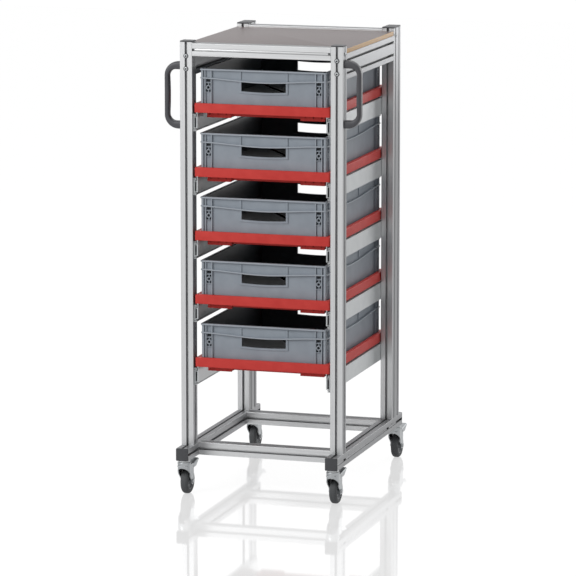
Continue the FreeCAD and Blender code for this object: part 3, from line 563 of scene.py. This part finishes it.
def box_rows(along, half):
    """Rows of (height over the base, relief or None for the wall's own), from foot over rim to floor."""
    lip = lip_bottom(along, half)
    flat = np.zeros(len(along))
    foot = [(FOOT_HIGH, FOOT_AT - FOOT_WIDE), (0, FOOT_AT - FOOT_WIDE)]
    foot += [(0, FOOT_AT - FOOT_EASE), (FOOT_EASE, FOOT_AT), (FOOT_HIGH, FOOT_AT)]
    rows = [(flat + z, flat + step) for z, step in foot]
    rows += [(flat + z, None) for z in (FOOT_HIGH + CHAMFER, *WALL_ROWS)]
    hole_low = len(rows) + round((LATTICE_LOW - HOLE_DEEP) / ROW_STEP)
    rows += [(lip - down, None) for down in np.arange(LATTICE_LOW, ROW_STEP / 2, -ROW_STEP)]
    rows.append((lip - DRAFT, None))
    hole_top = len(rows) - 1
    for rise, step in ((0, -CHAMFER), (CHAMFER, 0), (LIP_HIGH - CHAMFER, 0), (LIP_HIGH, -CHAMFER)):
        rows.append((lip + rise, flat + LIP_OUT + step))
    rim_low = BOX_HIGH - RIM_DEEP
    span = rim_low - lip - LIP_HIGH - 2 * DRAFT
    rows += [(lip + LIP_HIGH + DRAFT + share * span, None) for share in (0, 0.5, 1)]
    rim = [(rim_low, RIM_OUT - RIM_CHAMFER), (rim_low + RIM_CHAMFER, RIM_OUT)]
    for a in np.radians(np.linspace(0, 90, 5)):
        rise = BOX_HIGH - RIM_ROUND + RIM_ROUND * math.sin(a)
        rim.append((rise, RIM_OUT - RIM_ROUND + RIM_ROUND * math.cos(a)))
    rim += [(BOX_HIGH - down, INSIDE_AT + out) for down, out in RIM_INNER]
    rows += [(flat + z, flat + step) for z, step in rim]
    inner_top = len(rows)
    rows += [(lip - DRAFT - share * (HOLE_DEEP - DRAFT), flat + INSIDE_AT) for share in (0, 0.5, 1)]
    rows.append((flat + INNER_ROW, flat + INSIDE_AT))
    rows.append((flat + BOX_FLOOR + FLOOR_RISE, flat + INSIDE_AT - FLOOR_TURN))
    rows.append((flat + BOX_FLOOR, flat + INSIDE_AT - FLOOR_IN))
    return rows, (hole_low, hole_top), (inner_top, inner_top + 2)


def box_shell():
    """The whole shell as one closed grid with the hand holes cut out of it, and a tone for each point."""
    x, y, out_x, out_y, along, half, turn = round_the_box().T
    rows, outer_hole, inner_hole = box_rows(along, half)
    z = np.array([row[0] for row in rows])
    height = np.array([wall_relief(along, half, turn, row[0]) if row[1] is None else row[1] for row in rows])
    points = np.stack([x + out_x * height, y + out_y * height, z], -1)
    count, columns = z.shape
    index = np.arange(count * columns).reshape(count, columns)
    faces = np.array(grid_faces(count, columns, False, True))
    row_of, column_of = np.divmod(faces[:, 0], columns)
    ends = [np.flatnonzero((turn == side) & (np.abs(along) <= HOLE_HALF)) for side in (0, 2)]
    cut = (row_of >= outer_hole[0]) & (row_of < outer_hole[1])
    cut |= (row_of >= inner_hole[0]) & (row_of < inner_hole[1])
    cut &= np.isin(column_of, np.concatenate([end[:-1] for end in ends]))
    kept = faces[~cut].tolist()
    for end in ends:
        outer = index[outer_hole[0]:outer_hole[1] + 1][:, end]
        inner = index[inner_hole[0]:inner_hole[1] + 1][::-1][:, end]
        kept += [[*outer[:, 0], *inner[::-1, 0]], [*outer[:, -1], *inner[::-1, -1]]]
        for a, b in ((outer[0], inner[0]), (outer[-1], inner[-1])):
            kept += np.column_stack([a[:-1], a[1:], b[1:], b[:-1]]).tolist()
    kept += [index[0][::-1].tolist(), index[-1].tolist()]
    # Deep pockets and the whole inside get painted shade; raised ribs, lip, rim and columns get a painted
    # highlight.
    outside = np.arange(count) < inner_hole[0] - 3
    heights = [POCKET_AT, POCKET_AT + 0.5, WALL_AT - 0.5, WALL_AT / 2, -1.0]
    painted_light = np.interp(height, heights, [0.0, 0.1, 0.5, 0.5, 1.0])
    tone = np.where(outside[:, None], painted_light, INSIDE_SHADE_TONE)
    tone = np.where(outside[:, None] & (z < FOOT_HIGH + 1), 0.5, tone)
    return points.reshape(-1, 3), kept, tone.ravel()


*shell, shell_tone = box_shell()
print("box shell points", len(shell[0]), "faces", len(shell[1]))
for level in LEVELS:
    node = "box_%d" % level
    low, high = node_box(node)
    middle = (low + high) / 2
    shape = placed(shell, middle[0], middle[1], low[2])
    make_piece("stacking_" + node, shape, [BOX_GREY], node, [node], tone=shell_tone)

# %% [markdown]
# ## Tray
# The red tray is a moulded frame: a rim of inverted U section round a ledge that the box stands on, an open
# middle, a keel frame under the ledge and a notched pad under each corner. Rim and keel are lofts of rounded
# rectangles whose last row joins the first, so that each is a closed ring. The pads are built from thin
# boards.

# %% Tray shape
RIM_EDGE = 2.5
SHEET = 3.5
RIM_WIDE = 15.0
RIM_TOP = -3.5
RIM_LOW = -32.5
RIM_CORNER = 6.0
CREST_CORNER = 13.5
LEDGE_CORNER = 16.0
HOLLOW_CORNER = 10.5
EASE = 0.6
LEDGE_Z = -19.0
LEDGE_WIDE = 50.0
KEEL_LOW = -46.0
KEEL_IN = (29.0, 42.0)
KEEL_BACK = 9.0
PAD = (78.0, 62.0)
PAD_LOW = -51.0
NOTCHES = (0.12, 0.46, 0.80)
NOTCH_HALF = 8.5
NOTCH_LOW = -45.0
PAD_ROUND = (0.8, 0.5, 2)
LAP = 0.05
OVER = 0.3


def tray_rim(half_x, half_y):
    """Rim and ledge: each row is the tray's outline drawn in by some distance, at some height."""
    bend = np.radians(np.linspace(0, 90, 5))
    inner = RIM_WIDE - RIM_EDGE
    outline = [(EASE, RIM_LOW, RIM_CORNER), (0.0, RIM_LOW + EASE, RIM_CORNER)]
    for a in bend:
        z = RIM_TOP + RIM_EDGE * (math.sin(a) - 1)
        outline.append((RIM_EDGE * (1 - math.cos(a)), z, RIM_CORNER))
    for a in bend:
        z = RIM_TOP + RIM_EDGE * (math.cos(a) - 1)
        outline.append((inner + RIM_EDGE * math.sin(a), z, CREST_CORNER))
    floor_low = LEDGE_Z - SHEET
    far = RIM_WIDE + LEDGE_WIDE
    wall = RIM_WIDE - SHEET
    hollow = RIM_TOP - SHEET
    ledge = [(RIM_WIDE, LEDGE_Z + 1), (RIM_WIDE + 1, LEDGE_Z), (far - 1, LEDGE_Z), (far, LEDGE_Z - 1)]
    ledge += [(far, floor_low), (RIM_WIDE, floor_low), (RIM_WIDE, RIM_LOW), (wall, RIM_LOW), (wall, hollow)]
    outline += [(inset, z, LEDGE_CORNER) for inset, z in ledge]
    outline += [(SHEET, hollow, HOLLOW_CORNER), (SHEET, RIM_LOW, HOLLOW_CORNER)]
    return loft([(half_x - inset, half_y - inset, corner, z) for inset, z, corner in outline], closed=True)


def ring(half_x, half_y, wall, low, high, corner):
    """An upright frame of even wall thickness with eased edges."""
    rows = [(EASE, low), (0, low + EASE), (0, high), (wall, high), (wall, low + EASE), (wall - EASE, low)]
    return loft([(half_x - i, half_y - i, max(corner - i, 0.5), z) for i, z in rows], closed=True)


def tray_pad():
    """A corner pad that reaches inwards from its outer corner: notched front, plain back, ribs and roof."""
    high = LEDGE_Z - SHEET
    wide, deep = PAD
    front = [(0, PAD_LOW), (wide, PAD_LOW), (wide, high)]
    for share in NOTCHES[::-1]:
        middle = share * wide
        front += [(middle + NOTCH_HALF, high), (middle, NOTCH_LOW), (middle - NOTCH_HALF, high)]
    front = np.maximum(front, (0, PAD_LOW)).tolist()
    parts = [swapped(extruded(front, 0.0, SHEET), (1, 0, 2))]
    back = board(wide / 2, SHEET / 2, PAD_LOW, high, *PAD_ROUND)
    parts.append(placed(back, wide / 2, deep - SHEET / 2))
    rib = board(SHEET / 2, deep / 2 - SHEET, PAD_LOW + 1, high, *PAD_ROUND)
    for x in np.linspace(SHEET / 2, wide - SHEET / 2, 4):
        parts.append(placed(rib, x, deep / 2))
    roof = board(wide / 2 - 1, deep / 2 - 1, high - SHEET, high - LAP, 3.0, 0.5, 2)
    parts.append(placed(roof, wide / 2, deep / 2))
    return joined(parts)


def tray_shape(half_x, half_y):
    """Rim, keel and four pads, mirrored into the corners of the keel."""
    keel = (half_x - KEEL_IN[0], half_y - KEEL_IN[1])
    inner = (keel[0] - KEEL_BACK, keel[1] - KEEL_BACK)
    parts = [tray_rim(half_x, half_y), ring(*inner, SHEET, KEEL_LOW, LEDGE_Z - SHEET + LAP, LEDGE_CORNER)]
    for side in (-1, 1):
        for end in (-1, 1):
            parts.append(placed(tray_pad(), side * keel[0], end * keel[1], 0, (-side, -end, 1)))
    return joined(parts)


low, high = node_box("tray_1")
tray = tray_shape(*((high - low) / 2 + OVER)[:2])
print("tray points", len(tray[0]), "faces", len(tray[1]))
for level in LEVELS:
    node = "tray_%d" % level
    low, high = node_box(node)
    middle = (low + high) / 2
    shape = placed(tray, middle[0], middle[1], high[2])
    make_piece("carrier_" + node, shape, [TRAY_RED], "drawer_%d" % level, [node])

# %% [markdown]
# ## Bow handles
# Each handle is a plastic bow: two thick legs, rounded corners and a grip that swells towards the fingers.
# Two curves give it, an outer and an inner one with the same number of points. The section at each place is
# a superellipse that spans from one curve to the other, so the bow thickens and thins as they part and
# close.


# %% Handle shape
OUTER_BOW = dict(leg_x=10.0, leg_z=105.0, radius=44.0, turn_to=0.0, grip_x=54.0, grip_z=61.0, swell=0.0)
INNER_BOW = dict(leg_x=18.0, leg_z=80.0, radius=22.0, turn_to=-6.0, grip_x=39.88, grip_z=55.7, swell=1.6)
SQUARENESS = 0.55
GRIP_HALF = 13.0


def bow_curve(leg_x, leg_z, radius, turn_to, grip_x, grip_z, swell):
    """Leg, corner arc and grip of one curve, mirrored about the middle; the grip bows inwards by swell."""
    leg = np.column_stack([np.linspace(0, leg_x, 6)[:-1], np.full(5, -leg_z)])
    angle = np.radians(np.linspace(-90, turn_to, 15))
    corner = np.column_stack([leg_x + radius * np.cos(angle), radius - leg_z + radius * np.sin(angle)])
    z = np.linspace(-grip_z, 0, 13)[1:]
    grip = np.column_stack([grip_x - swell * (1 - (z / grip_z) ** 2), z])
    half = np.vstack([leg, corner, grip])
    return np.vstack([half, (half * (1, -1))[-2::-1]])


def handle_shape():
    """Point = middle of the two curves + half their distance * c, depth * s, where c and s are
    sign(cos a) |cos a|^n and sign(sin a) |sin a|^n.
    """
    outer = bow_curve(**OUTER_BOW)
    inner = bow_curve(**INNER_BOW)
    angle = np.linspace(0, 2 * np.pi, 32, endpoint=False)
    across = np.sign(np.cos(angle)) * np.abs(np.cos(angle)) ** SQUARENESS
    deep = np.sign(np.sin(angle)) * np.abs(np.sin(angle)) ** SQUARENESS
    middle = ((outer + inner) / 2)[:, None, :]
    reach = ((outer - inner) / 2)[:, None, :]
    flat = middle + reach * across[None, :, None]
    y = np.broadcast_to(GRIP_HALF * deep, flat.shape[:2])
    points = np.stack([flat[..., 0], y, flat[..., 1]], -1).reshape(-1, 3)
    rows, columns = flat.shape[:2]
    faces = grid_faces(rows, columns, False, True)
    faces += [list(range(columns))[::-1], list(range((rows - 1) * columns, rows * columns))]
    return points, faces


handle = handle_shape()
for name, side in (("left", -1), ("right", 1)):
    node = "handle_" + name
    low, high = node_box(node)
    middle = (low + high) / 2
    foot = high[0] if side < 0 else low[0]
    bow = placed(handle, foot, middle[1], middle[2], (side, 1, 1))
    make_piece("bow_" + node, bow, [HANDLE_BLACK], "frame", [node])

# %% [markdown]
# ## Worktop and end caps
# The worktop is a laminated board with a beech-coloured edge band. The bars end in flat plastic caps with
# softened edges. All are boards with rounded edges, stood up where a cap faces the front or the back.

# %% Worktop
TOP_THINNER = 2.5
TOP_CORNER = 2.0
TOP_EDGE = 0.8
low, high = node_box("worktop")
middle = (low + high) / 2
half = (high - low) / 2
top = board(half[0], half[1], low[2], high[2] - TOP_THINNER, TOP_CORNER, TOP_EDGE)
top = placed(top, middle[0], middle[1])
band = np.ones(len(top[1]), int)
band[-2:] = 0
make_piece("laminated_worktop", top, [LAMINATE, BEECH], "frame", ["worktop"], band)


# %% End caps
CAP = 4.0
CAP_CORNER = 3.2
CAP_EDGE = 1.4
PROFILE = 40.0


def cap(half_y):
    """A cap on an upright bar, standing on z = 0."""
    return board(PROFILE / 2, half_y, 0.0, CAP, CAP_CORNER, CAP_EDGE)


caps = []
for side, post in ((-1, "left"), (1, "right")):
    for corner, half_y in (("front", PROFILE / 2), ("rear", PROFILE)):
        post_low, post_high = node_box("post_%s_%s" % (corner, post))
        centre = (post_low + post_high) / 2
        caps.append(placed(cap(half_y), centre[0], centre[1], post_high[2]))
    rail_low, rail_high = node_box("base_side_rail_" + post)
    centre = (rail_low + rail_high) / 2
    front_cap = swapped(cap(PROFILE / 2), (0, 2, 1), (1, -1, 1))
    rear_cap = swapped(cap(PROFILE / 2), (0, 2, 1))
    caps.append(placed(front_cap, centre[0], rail_low[1], centre[2]))
    caps.append(placed(rear_cap, centre[0], rail_high[1], centre[2]))
make_piece("profile_end_caps", joined(caps), [CAP_BLACK], "frame", ["end_caps"])

# %% [markdown]
# ## Cover strips and screw heads
# The imported strips fill their slots. Real ones leave a thin shadow line along both edges and stop short of
# one another, so each is drawn again a little narrower and shorter. The frame screws get button heads with a
# socket and a ring round the head in black, as painted shade in the socket and a painted shadow round the
# head, and the pins in the base rails show as dark discs. Where they are comes from the imported nodes:
# points that share an edge belong to one solid, and each solid gives one box.


# %% Boxes round the solids of a node
SEAM = 0.01


def solid_boxes(node):
    """Low and high corners, in millimetres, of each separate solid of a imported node."""
    work = bmesh.new()
    work.from_mesh(nodes[node].data)
    work.transform(nodes[node].matrix_world)
    bmesh.ops.remove_doubles(work, verts=work.verts, dist=SEAM * MM)
    left = set(work.verts)
    boxes = []
    while left:
        group = [left.pop()]
        for point in group:
            near = {edge.other_vert(point) for edge in point.link_edges} & left
            left -= near
            group += near
        places = np.array([point.co for point in group]) / MM
        boxes.append((places.min(0), places.max(0)))
    work.free()
    return boxes


# %% Cover strips
STRIP_LINE = 1.0
STRIP_STOP = 8.0
STRIP_GAP = 7.5
STRIP_ROUND = (0.3, 0.25, 2)
strips, strip_sides = [], []
cover_boxes = solid_boxes("slot_covers")
front_end = min(low[1] for low, high in cover_boxes)
rear_end = max(high[1] for low, high in cover_boxes if high[1] - low[1] > STRIP_STOP)
for low, high in cover_boxes:
    long = int(np.argmax(high - low))
    trim_low = np.array([0.0, 0.0, STRIP_LINE])
    trim_high = trim_low.copy()
    if long == 0:
        trim_low[0] = trim_high[0] = STRIP_STOP
    else:
        trim_low[1] = STRIP_GAP * (low[1] > front_end + 1)
        trim_high[1] = STRIP_GAP * (high[1] < rear_end - 1)
    low, high = low + trim_low, high - trim_high
    half = (high - low) / 2
    middle = (high + low) / 2
    strip = placed(board(half[0], half[1], -half[2], half[2], *STRIP_ROUND), *middle)
    strips.append(strip)
    strip_sides += [long] * len(strip[1])
covers = joined(strips)
make_piece("slot_cover_strips", covers, ALUMINIUM[:2], "frame", ["slot_covers"], strip_sides)

# %% Screw heads
HEAD_WIDE = 11.0
HEAD_LINE = [(3.1, 2.8), (3.2, 3.3), (2.9, 4.4), (2.2, 5.4), (1.1, 5.8), (0.0, 5.8)]
# Socket and ring are black: painted shade in the socket, a painted shadow round the head.
SOCKET_SHADE_LINE = [(0.0, 0.1), (0.0, 1.0), (1.55, 2.7), (3.1, 2.8)]
SHADOW_RING_LINE = [(0.0, 5.5), (0.8, 5.6), (0.8, 7.8), (0.0, 8.2)]
PIN_WIDE = 3.2
PIN_LINE = [(1.6, 0.1), (1.7, 1.9), (1.5, 2.2)]
HEAD_SUNK = 1.5
HEAD_FIT = 0.3
HEADS = {HEAD_WIDE: ((0, HEAD_LINE), (1, SOCKET_SHADE_LINE), (1, SHADOW_RING_LINE)), PIN_WIDE: ((1, PIN_LINE),)}
heads, head_sides = [], []
for low, high in solid_boxes("screws"):
    long = int(np.argmax(high - low))
    wide = np.sort(high - low)[:2]
    width = min(HEADS, key=lambda size: abs(wide[1] - size))
    if long == 2 or np.abs(wide - width).max() > HEAD_FIT:
        continue
    middle = (low + high) / 2
    side = -1 if abs(low[long]) > abs(high[long]) else 1
    face = (low[long] if side < 0 else high[long]) - HEAD_SUNK * side
    for finish, line in HEADS[width]:
        turned = placed(lathe(line, 32), flip=(side, 1, 1))
        if long == 1:
            turned = swapped(turned, (1, 0, 2))
        spot = middle.copy()
        spot[long] = face
        heads.append(placed(turned, *spot))
        head_sides += [finish] * len(turned[1])
make_piece("button_screw_heads", joined(heads), [ZINC, CAP_BLACK], "frame", (), head_sides)
print("turned rings and pins", len(heads), "cover strips", len(strips))

# %% [markdown]
# ## Castors
# A pressed steel fork hangs under each end of the base rails: a round crown, a hood with an arched front and
# two arms that trail back to the axle. The hood is a sheet along a U-shaped line seen from above, whose
# lower edge rises over the wheel as an arch. Hub and tyre are turned, and the brake pedal is a folded
# channel.

# %% Fork
TRAIL = 32.0
AXLE_Z = 40.0
EYE = 11.0
PLATE = 3.0
ARM_X = 16.0
ARM_FRONT = 20.0
ARM_EASE = 14.0
HOOD = 18.5
HOOD_Y = -1.0
SHOULDER_Y, SHOULDER_DROP = 33.0, 8.0
ARCH_TOP, ARCH_SIDE = 89.0, 69.0
PLATE_LOW, CROWN_LOW, CROWN_HIGH = 93.6, 96.6, 107.6
TOP_PLATE_Y, TOP_PLATE_HALF = 6.0, 26.0
ARM_REAR = TRAIL + EYE


def hood_line():
    """Half of the U seen from above: a straight arm, easing out to the hood's half circle.

    Each row is x, y, the sheet's lower edge and its upper edge.
    """
    round_eye = TRAIL + EYE * np.cos(np.linspace(0, np.pi, 25))
    y = np.concatenate([round_eye, np.linspace(ARM_FRONT, HOOD_Y, 16)])
    ease = np.clip((ARM_EASE - y) / ARM_EASE, 0, 1)
    x = ARM_X + (HOOD - ARM_X) * ease * ease * (3 - 2 * ease)
    eye = AXLE_Z - np.sqrt(np.maximum(EYE ** 2 - (y - TRAIL) ** 2, 0))
    slope = ARCH_SIDE + (AXLE_Z - ARCH_SIDE) * (y - HOOD_Y) / (TRAIL - EYE - HOOD_Y)
    lower = np.where(y > TRAIL - EYE, eye, slope)
    upper = np.interp(y, [SHOULDER_Y, ARM_REAR], [CROWN_LOW, CROWN_LOW - SHOULDER_DROP])
    angle = np.radians(np.linspace(90, 0, 19)[1:])
    arc = np.column_stack([HOOD * np.sin(angle), HOOD_Y - HOOD * np.cos(angle)])
    arch = ARCH_SIDE + (ARCH_TOP - ARCH_SIDE) * np.cos(angle)
    straight = np.column_stack([x, y, lower, upper])
    return np.vstack([straight, np.column_stack([arc, arch, np.full(len(arc), CROWN_LOW)])])


def hood_shape():
    """A sheet of even thickness: two faces half a plate either side of the U, joined at the edges."""
    half = hood_line()
    whole = np.vstack([half, (half * (-1, 1, 1, 1))[-2::-1]])
    line, lower, upper = whole[:, :2], whole[:, 2], whole[:, 3]
    run = np.gradient(line, axis=0)
    outward = np.column_stack([-run[:, 1], run[:, 0]]) / np.linalg.norm(run, axis=1, keepdims=True)
    share = np.linspace(0, 1, 9)[:, None]
    z = lower + (upper - lower) * share
    outer = np.broadcast_to(line + outward * PLATE / 2, (9, len(line), 2))
    inner = np.broadcast_to(line - outward * PLATE / 2, (9, len(line), 2))
    points = np.vstack([np.dstack([outer, z]), np.dstack([inner, z])[::-1]])
    rows, columns = points.shape[:2]
    index = np.arange(rows * columns).reshape(rows, columns)
    faces = grid_faces(rows, columns, True) + [index[:, 0].tolist(), index[::-1, -1].tolist()]
    return points.reshape(-1, 3), faces


def fork_shape():
    """Crown turned about the swivel axis, top plate and hood."""
    crown = [(PLATE_LOW, 6), (PLATE_LOW, 18), (CROWN_LOW, 20.6), (CROWN_HIGH - 3, 21)]
    crown += [(CROWN_HIGH - 0.9, 20.1), (CROWN_HIGH, 18), (CROWN_HIGH, 6)]
    plate = board(ARM_X + PLATE / 2 - 0.2, TOP_PLATE_HALF, PLATE_LOW, CROWN_LOW, 4, 0.8)
    return joined([swapped(lathe(crown), (1, 2, 0)), placed(plate, 0, TOP_PLATE_Y), hood_shape()])


# %% Wheel and pedal
def tyre_outline():
    """Flat tread, round shoulders of 9 mm, flanks, and a seat on the hub."""
    bend = np.radians(np.linspace(0, 90, 9))
    shoulder = np.column_stack([3.5 + 9 * np.sin(bend), 31 + 9 * np.cos(bend)])
    flank = np.array([(12.5, 29.5), (11.6, 28.2), (11.0, 27.2)])
    right = np.vstack([shoulder, flank])
    return np.vstack([right, (right * (-1, 1))[::-1]])


def hub_outline():
    """Rim with a raised bead, dished web with a ring, and a boss that reaches to the fork."""
    boss = [(14.0, 4.1), (14.0, 8.6), (13.2, 9.6), (9.0, 10.6), (7.0, 11.6), (6.5, 13.0)]
    web = [(6.5, 16.0), (7.6, 16.8), (7.6, 18.0), (6.5, 18.8), (6.5, 20.6)]
    rim = [(8.2, 22.2), (10.2, 22.8), (10.9, 23.8), (10.9, 26.4), (10.2, 27.1)]
    right = np.array(boss + web + rim)
    return np.vstack([right, (right * (-1, 1))[::-1]])


PEDAL_HALF = 14.0
PEDAL_SHEET = 2.2
PEDAL_FOLD = 3.0
PEDAL_TOP = ((33.0, 92.65), (57.5, 93.7), (103.0, 100.0))
PEDAL_LOW = ((33.0, 82.15), (57.5, 79.0), (77.8, 80.05), (103.0, 96.6))


def pedal_shape():
    """A folded channel: top and lower edges follow curves along Y, and the section is an upside-down U."""
    y = np.linspace(PEDAL_TOP[0][0], PEDAL_TOP[-1][0], 33)
    top = np.interp(y, *np.transpose(PEDAL_TOP))
    low = np.interp(y, *np.transpose(PEDAL_LOW))
    bend = np.radians(np.linspace(0, 90, 5))
    fold = PEDAL_FOLD
    half = PEDAL_HALF
    outer_x = np.concatenate([[half], half - fold + fold * np.cos(bend)])
    outer_drop = np.concatenate([[0], fold * (1 - np.sin(bend))])
    tight = fold - PEDAL_SHEET
    inner_x = np.concatenate([half - fold + tight * np.cos(bend[::-1]), [half - PEDAL_SHEET]])
    inner_drop = np.concatenate([PEDAL_SHEET + tight * (1 - np.sin(bend[::-1])), [0]])
    x = np.concatenate([outer_x, -outer_x[::-1], -inner_x[::-1], inner_x])
    drop = np.concatenate([outer_drop, outer_drop[::-1], inner_drop[::-1], inner_drop])
    foot = np.zeros(len(x), bool)
    foot[[0, 2 * len(outer_x) - 1, 2 * len(outer_x), -1]] = True
    z = np.where(foot, low[:, None], np.maximum(top[:, None] - drop, low[:, None] + 0.1))
    points = np.stack([np.broadcast_to(x, z.shape), np.broadcast_to(y[:, None], z.shape), z], -1)
    rows, columns = z.shape
    faces = grid_faces(rows, columns, False, True)
    faces += [list(range(columns))[::-1], list(range((rows - 1) * columns, rows * columns))]
    return points.reshape(-1, 3), faces


# %% Set the castors in place
fork = fork_shape()
tyre = placed(lathe(tyre_outline(), 96), 0, TRAIL, AXLE_Z)
hub = placed(lathe(hub_outline()), 0, TRAIL, AXLE_Z)
pedal = pedal_shape()
for corner in CORNERS:
    name = "castor_" + corner
    low, high = node_box(name + "_hub")
    spot = ((low[0] + high[0]) / 2, (low[1] + high[1]) / 2 - TRAIL, 0)
    pieces = (
        ("fork", fork, BRIGHT_ZINC, "swivel", "zinc_steel"),
        ("tyre", tyre, RUBBER, "wheel", "tyre_rubber"),
        ("hub", hub, HUB_GREY, "wheel", "hub_plastic"),
        ("pedal", pedal, BRIGHT_ZINC, "brake", "zinc_steel"),
    )
    for part, shape, material, body, slot in pieces:
        formed = "%s_formed_%s" % (name, part)
        node = "%s_%s" % (name, part)
        make_piece(formed, placed(shape, *spot), [material], "%s_%s" % (name, body), [node])

# %% [markdown]
# ## Floor, light and camera
# A white studio: the floor shows white to the camera, to reflections and to clear parts, but keeps the
# shadow and a soft mirror image. A large soft lamp from the front left gives the fronts their light, and the
# sides fall off. One overhead lights the worktop, and a weak one behind on the right is mirrored by the
# upper right-hand faces.

# %% Floor
FLOOR_HALF = 14.0
floor_mesh = bpy.data.meshes.new("studio_floor")
floor_corners = np.array([(-1, -1, 0), (1, -1, 0), (1, 1, 0), (-1, 1, 0)]) * FLOOR_HALF
floor_mesh.from_pydata(floor_corners.tolist(), [], [(0, 1, 2, 3)])
floor = bpy.data.objects.new("studio_floor", floor_mesh)
bpy.context.collection.objects.link(floor)
floor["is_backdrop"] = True


def seen_directly(tree):
    """1 for rays from the camera, a reflection or a clear part, 0 for the light that falls on things."""
    path = add(tree, "ShaderNodeLightPath").outputs
    sockets = {0: path["Is Camera Ray"], 1: path["Is Glossy Ray"]}
    first = add(tree, "ShaderNodeMath", sockets, operation="MAXIMUM")
    sockets = {0: first.outputs[0], 1: path["Is Transmission Ray"]}
    return add(tree, "ShaderNodeMath", sockets, operation="MAXIMUM").outputs[0]


FLOOR_GLOW = 0.9
FLOOR_MIRROR = 0.31
FLOOR_HAZE = 0.045
floor_paint, tree, shader = start("white_floor_lacquer", Base_Color=linear("#7C7C7C"), Roughness=0.6)
shader.inputs["Specular IOR Level"].default_value = 0.0
glow = add(tree, "ShaderNodeMath", {0: seen_directly(tree), 1: FLOOR_GLOW}, operation="MULTIPLY")
tree.links.new(glow.outputs[0], shader.inputs["Emission Strength"])
shader.inputs["Emission Color"].default_value = (1, 1, 1, 1)
mirror = add(tree, "ShaderNodeBsdfGlossy", {"Color": (1, 1, 1, 1), "Roughness": FLOOR_HAZE})
mix = add(tree, "ShaderNodeMixShader", {0: FLOOR_MIRROR, 1: shader.outputs[0], 2: mirror.outputs[0]})
tree.links.new(mix.outputs[0], tree.nodes["Material Output"].inputs["Surface"])
floor_mesh.materials.append(floor_paint)

# %% World and lamps
AMBIENT = 0.42
BACKDROP = 1.03
world = bpy.data.worlds.new("white_studio")
bpy.context.scene.world = world
world.use_nodes = True
tree = world.node_tree
backdrop = tree.nodes["Background"]
backdrop.inputs["Color"].default_value = (1, 1, 1, 1)
level = between(tree, seen_directly(tree), AMBIENT, BACKDROP, 0.0, 1.0)
tree.links.new(level, backdrop.inputs["Strength"])


def soft_lamp(name, place, target, size, power):
    """A square softbox that faces a point."""
    light = bpy.data.lights.new(name, "AREA")
    light.shape = "SQUARE"
    light.size = size
    light.energy = power
    lamp = bpy.data.objects.new(name, light)
    lamp.location = place
    lamp.rotation_euler = (Vector(target) - Vector(place)).to_track_quat("-Z", "Y").to_euler()
    bpy.context.collection.objects.link(lamp)


MIDDLE = (0, 0, 0.75)
soft_lamp("key_softbox", (-2.2, -3.2, 2.6), MIDDLE, 2.2, 75)
soft_lamp("top_softbox", (0.3, 0.2, 3.6), MIDDLE, 2.0, 30)
soft_lamp("rim_softbox", (1.25, 3.0, 1.45), (0.2, 0, 1.4), 1.0, 10)

# %% Camera
CAMERA_TARGET = Vector((-5.7, -60.5, 616.13)) * MM
CAMERA_AZIMUTH = math.radians(17.17)
CAMERA_RISE = math.radians(9.82)
CAMERA_DISTANCE = 12335.24 * MM
SENSOR = 36.0
FRAME_PIXELS = 576
FOCAL_PIXELS = 3887.57
camera_data = bpy.data.cameras.new("photo_camera")
camera_data.sensor_width = SENSOR
camera_data.lens = FOCAL_PIXELS / FRAME_PIXELS * SENSOR
camera = bpy.data.objects.new("photo_camera", camera_data)
outward = Vector((
    math.sin(CAMERA_AZIMUTH) * math.cos(CAMERA_RISE),
    -math.cos(CAMERA_AZIMUTH) * math.cos(CAMERA_RISE),
    math.sin(CAMERA_RISE),
))
camera.location = CAMERA_TARGET + outward * CAMERA_DISTANCE
camera.rotation_mode = "QUATERNION"
camera.rotation_quaternion = (-outward).to_track_quat("-Z", "Y")
camera_data.clip_end = 100
bpy.context.collection.objects.link(camera)
bpy.context.scene.camera = camera
bpy.context.scene.view_settings.view_transform = "Standard"

# %% Sizes and finish
low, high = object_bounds()
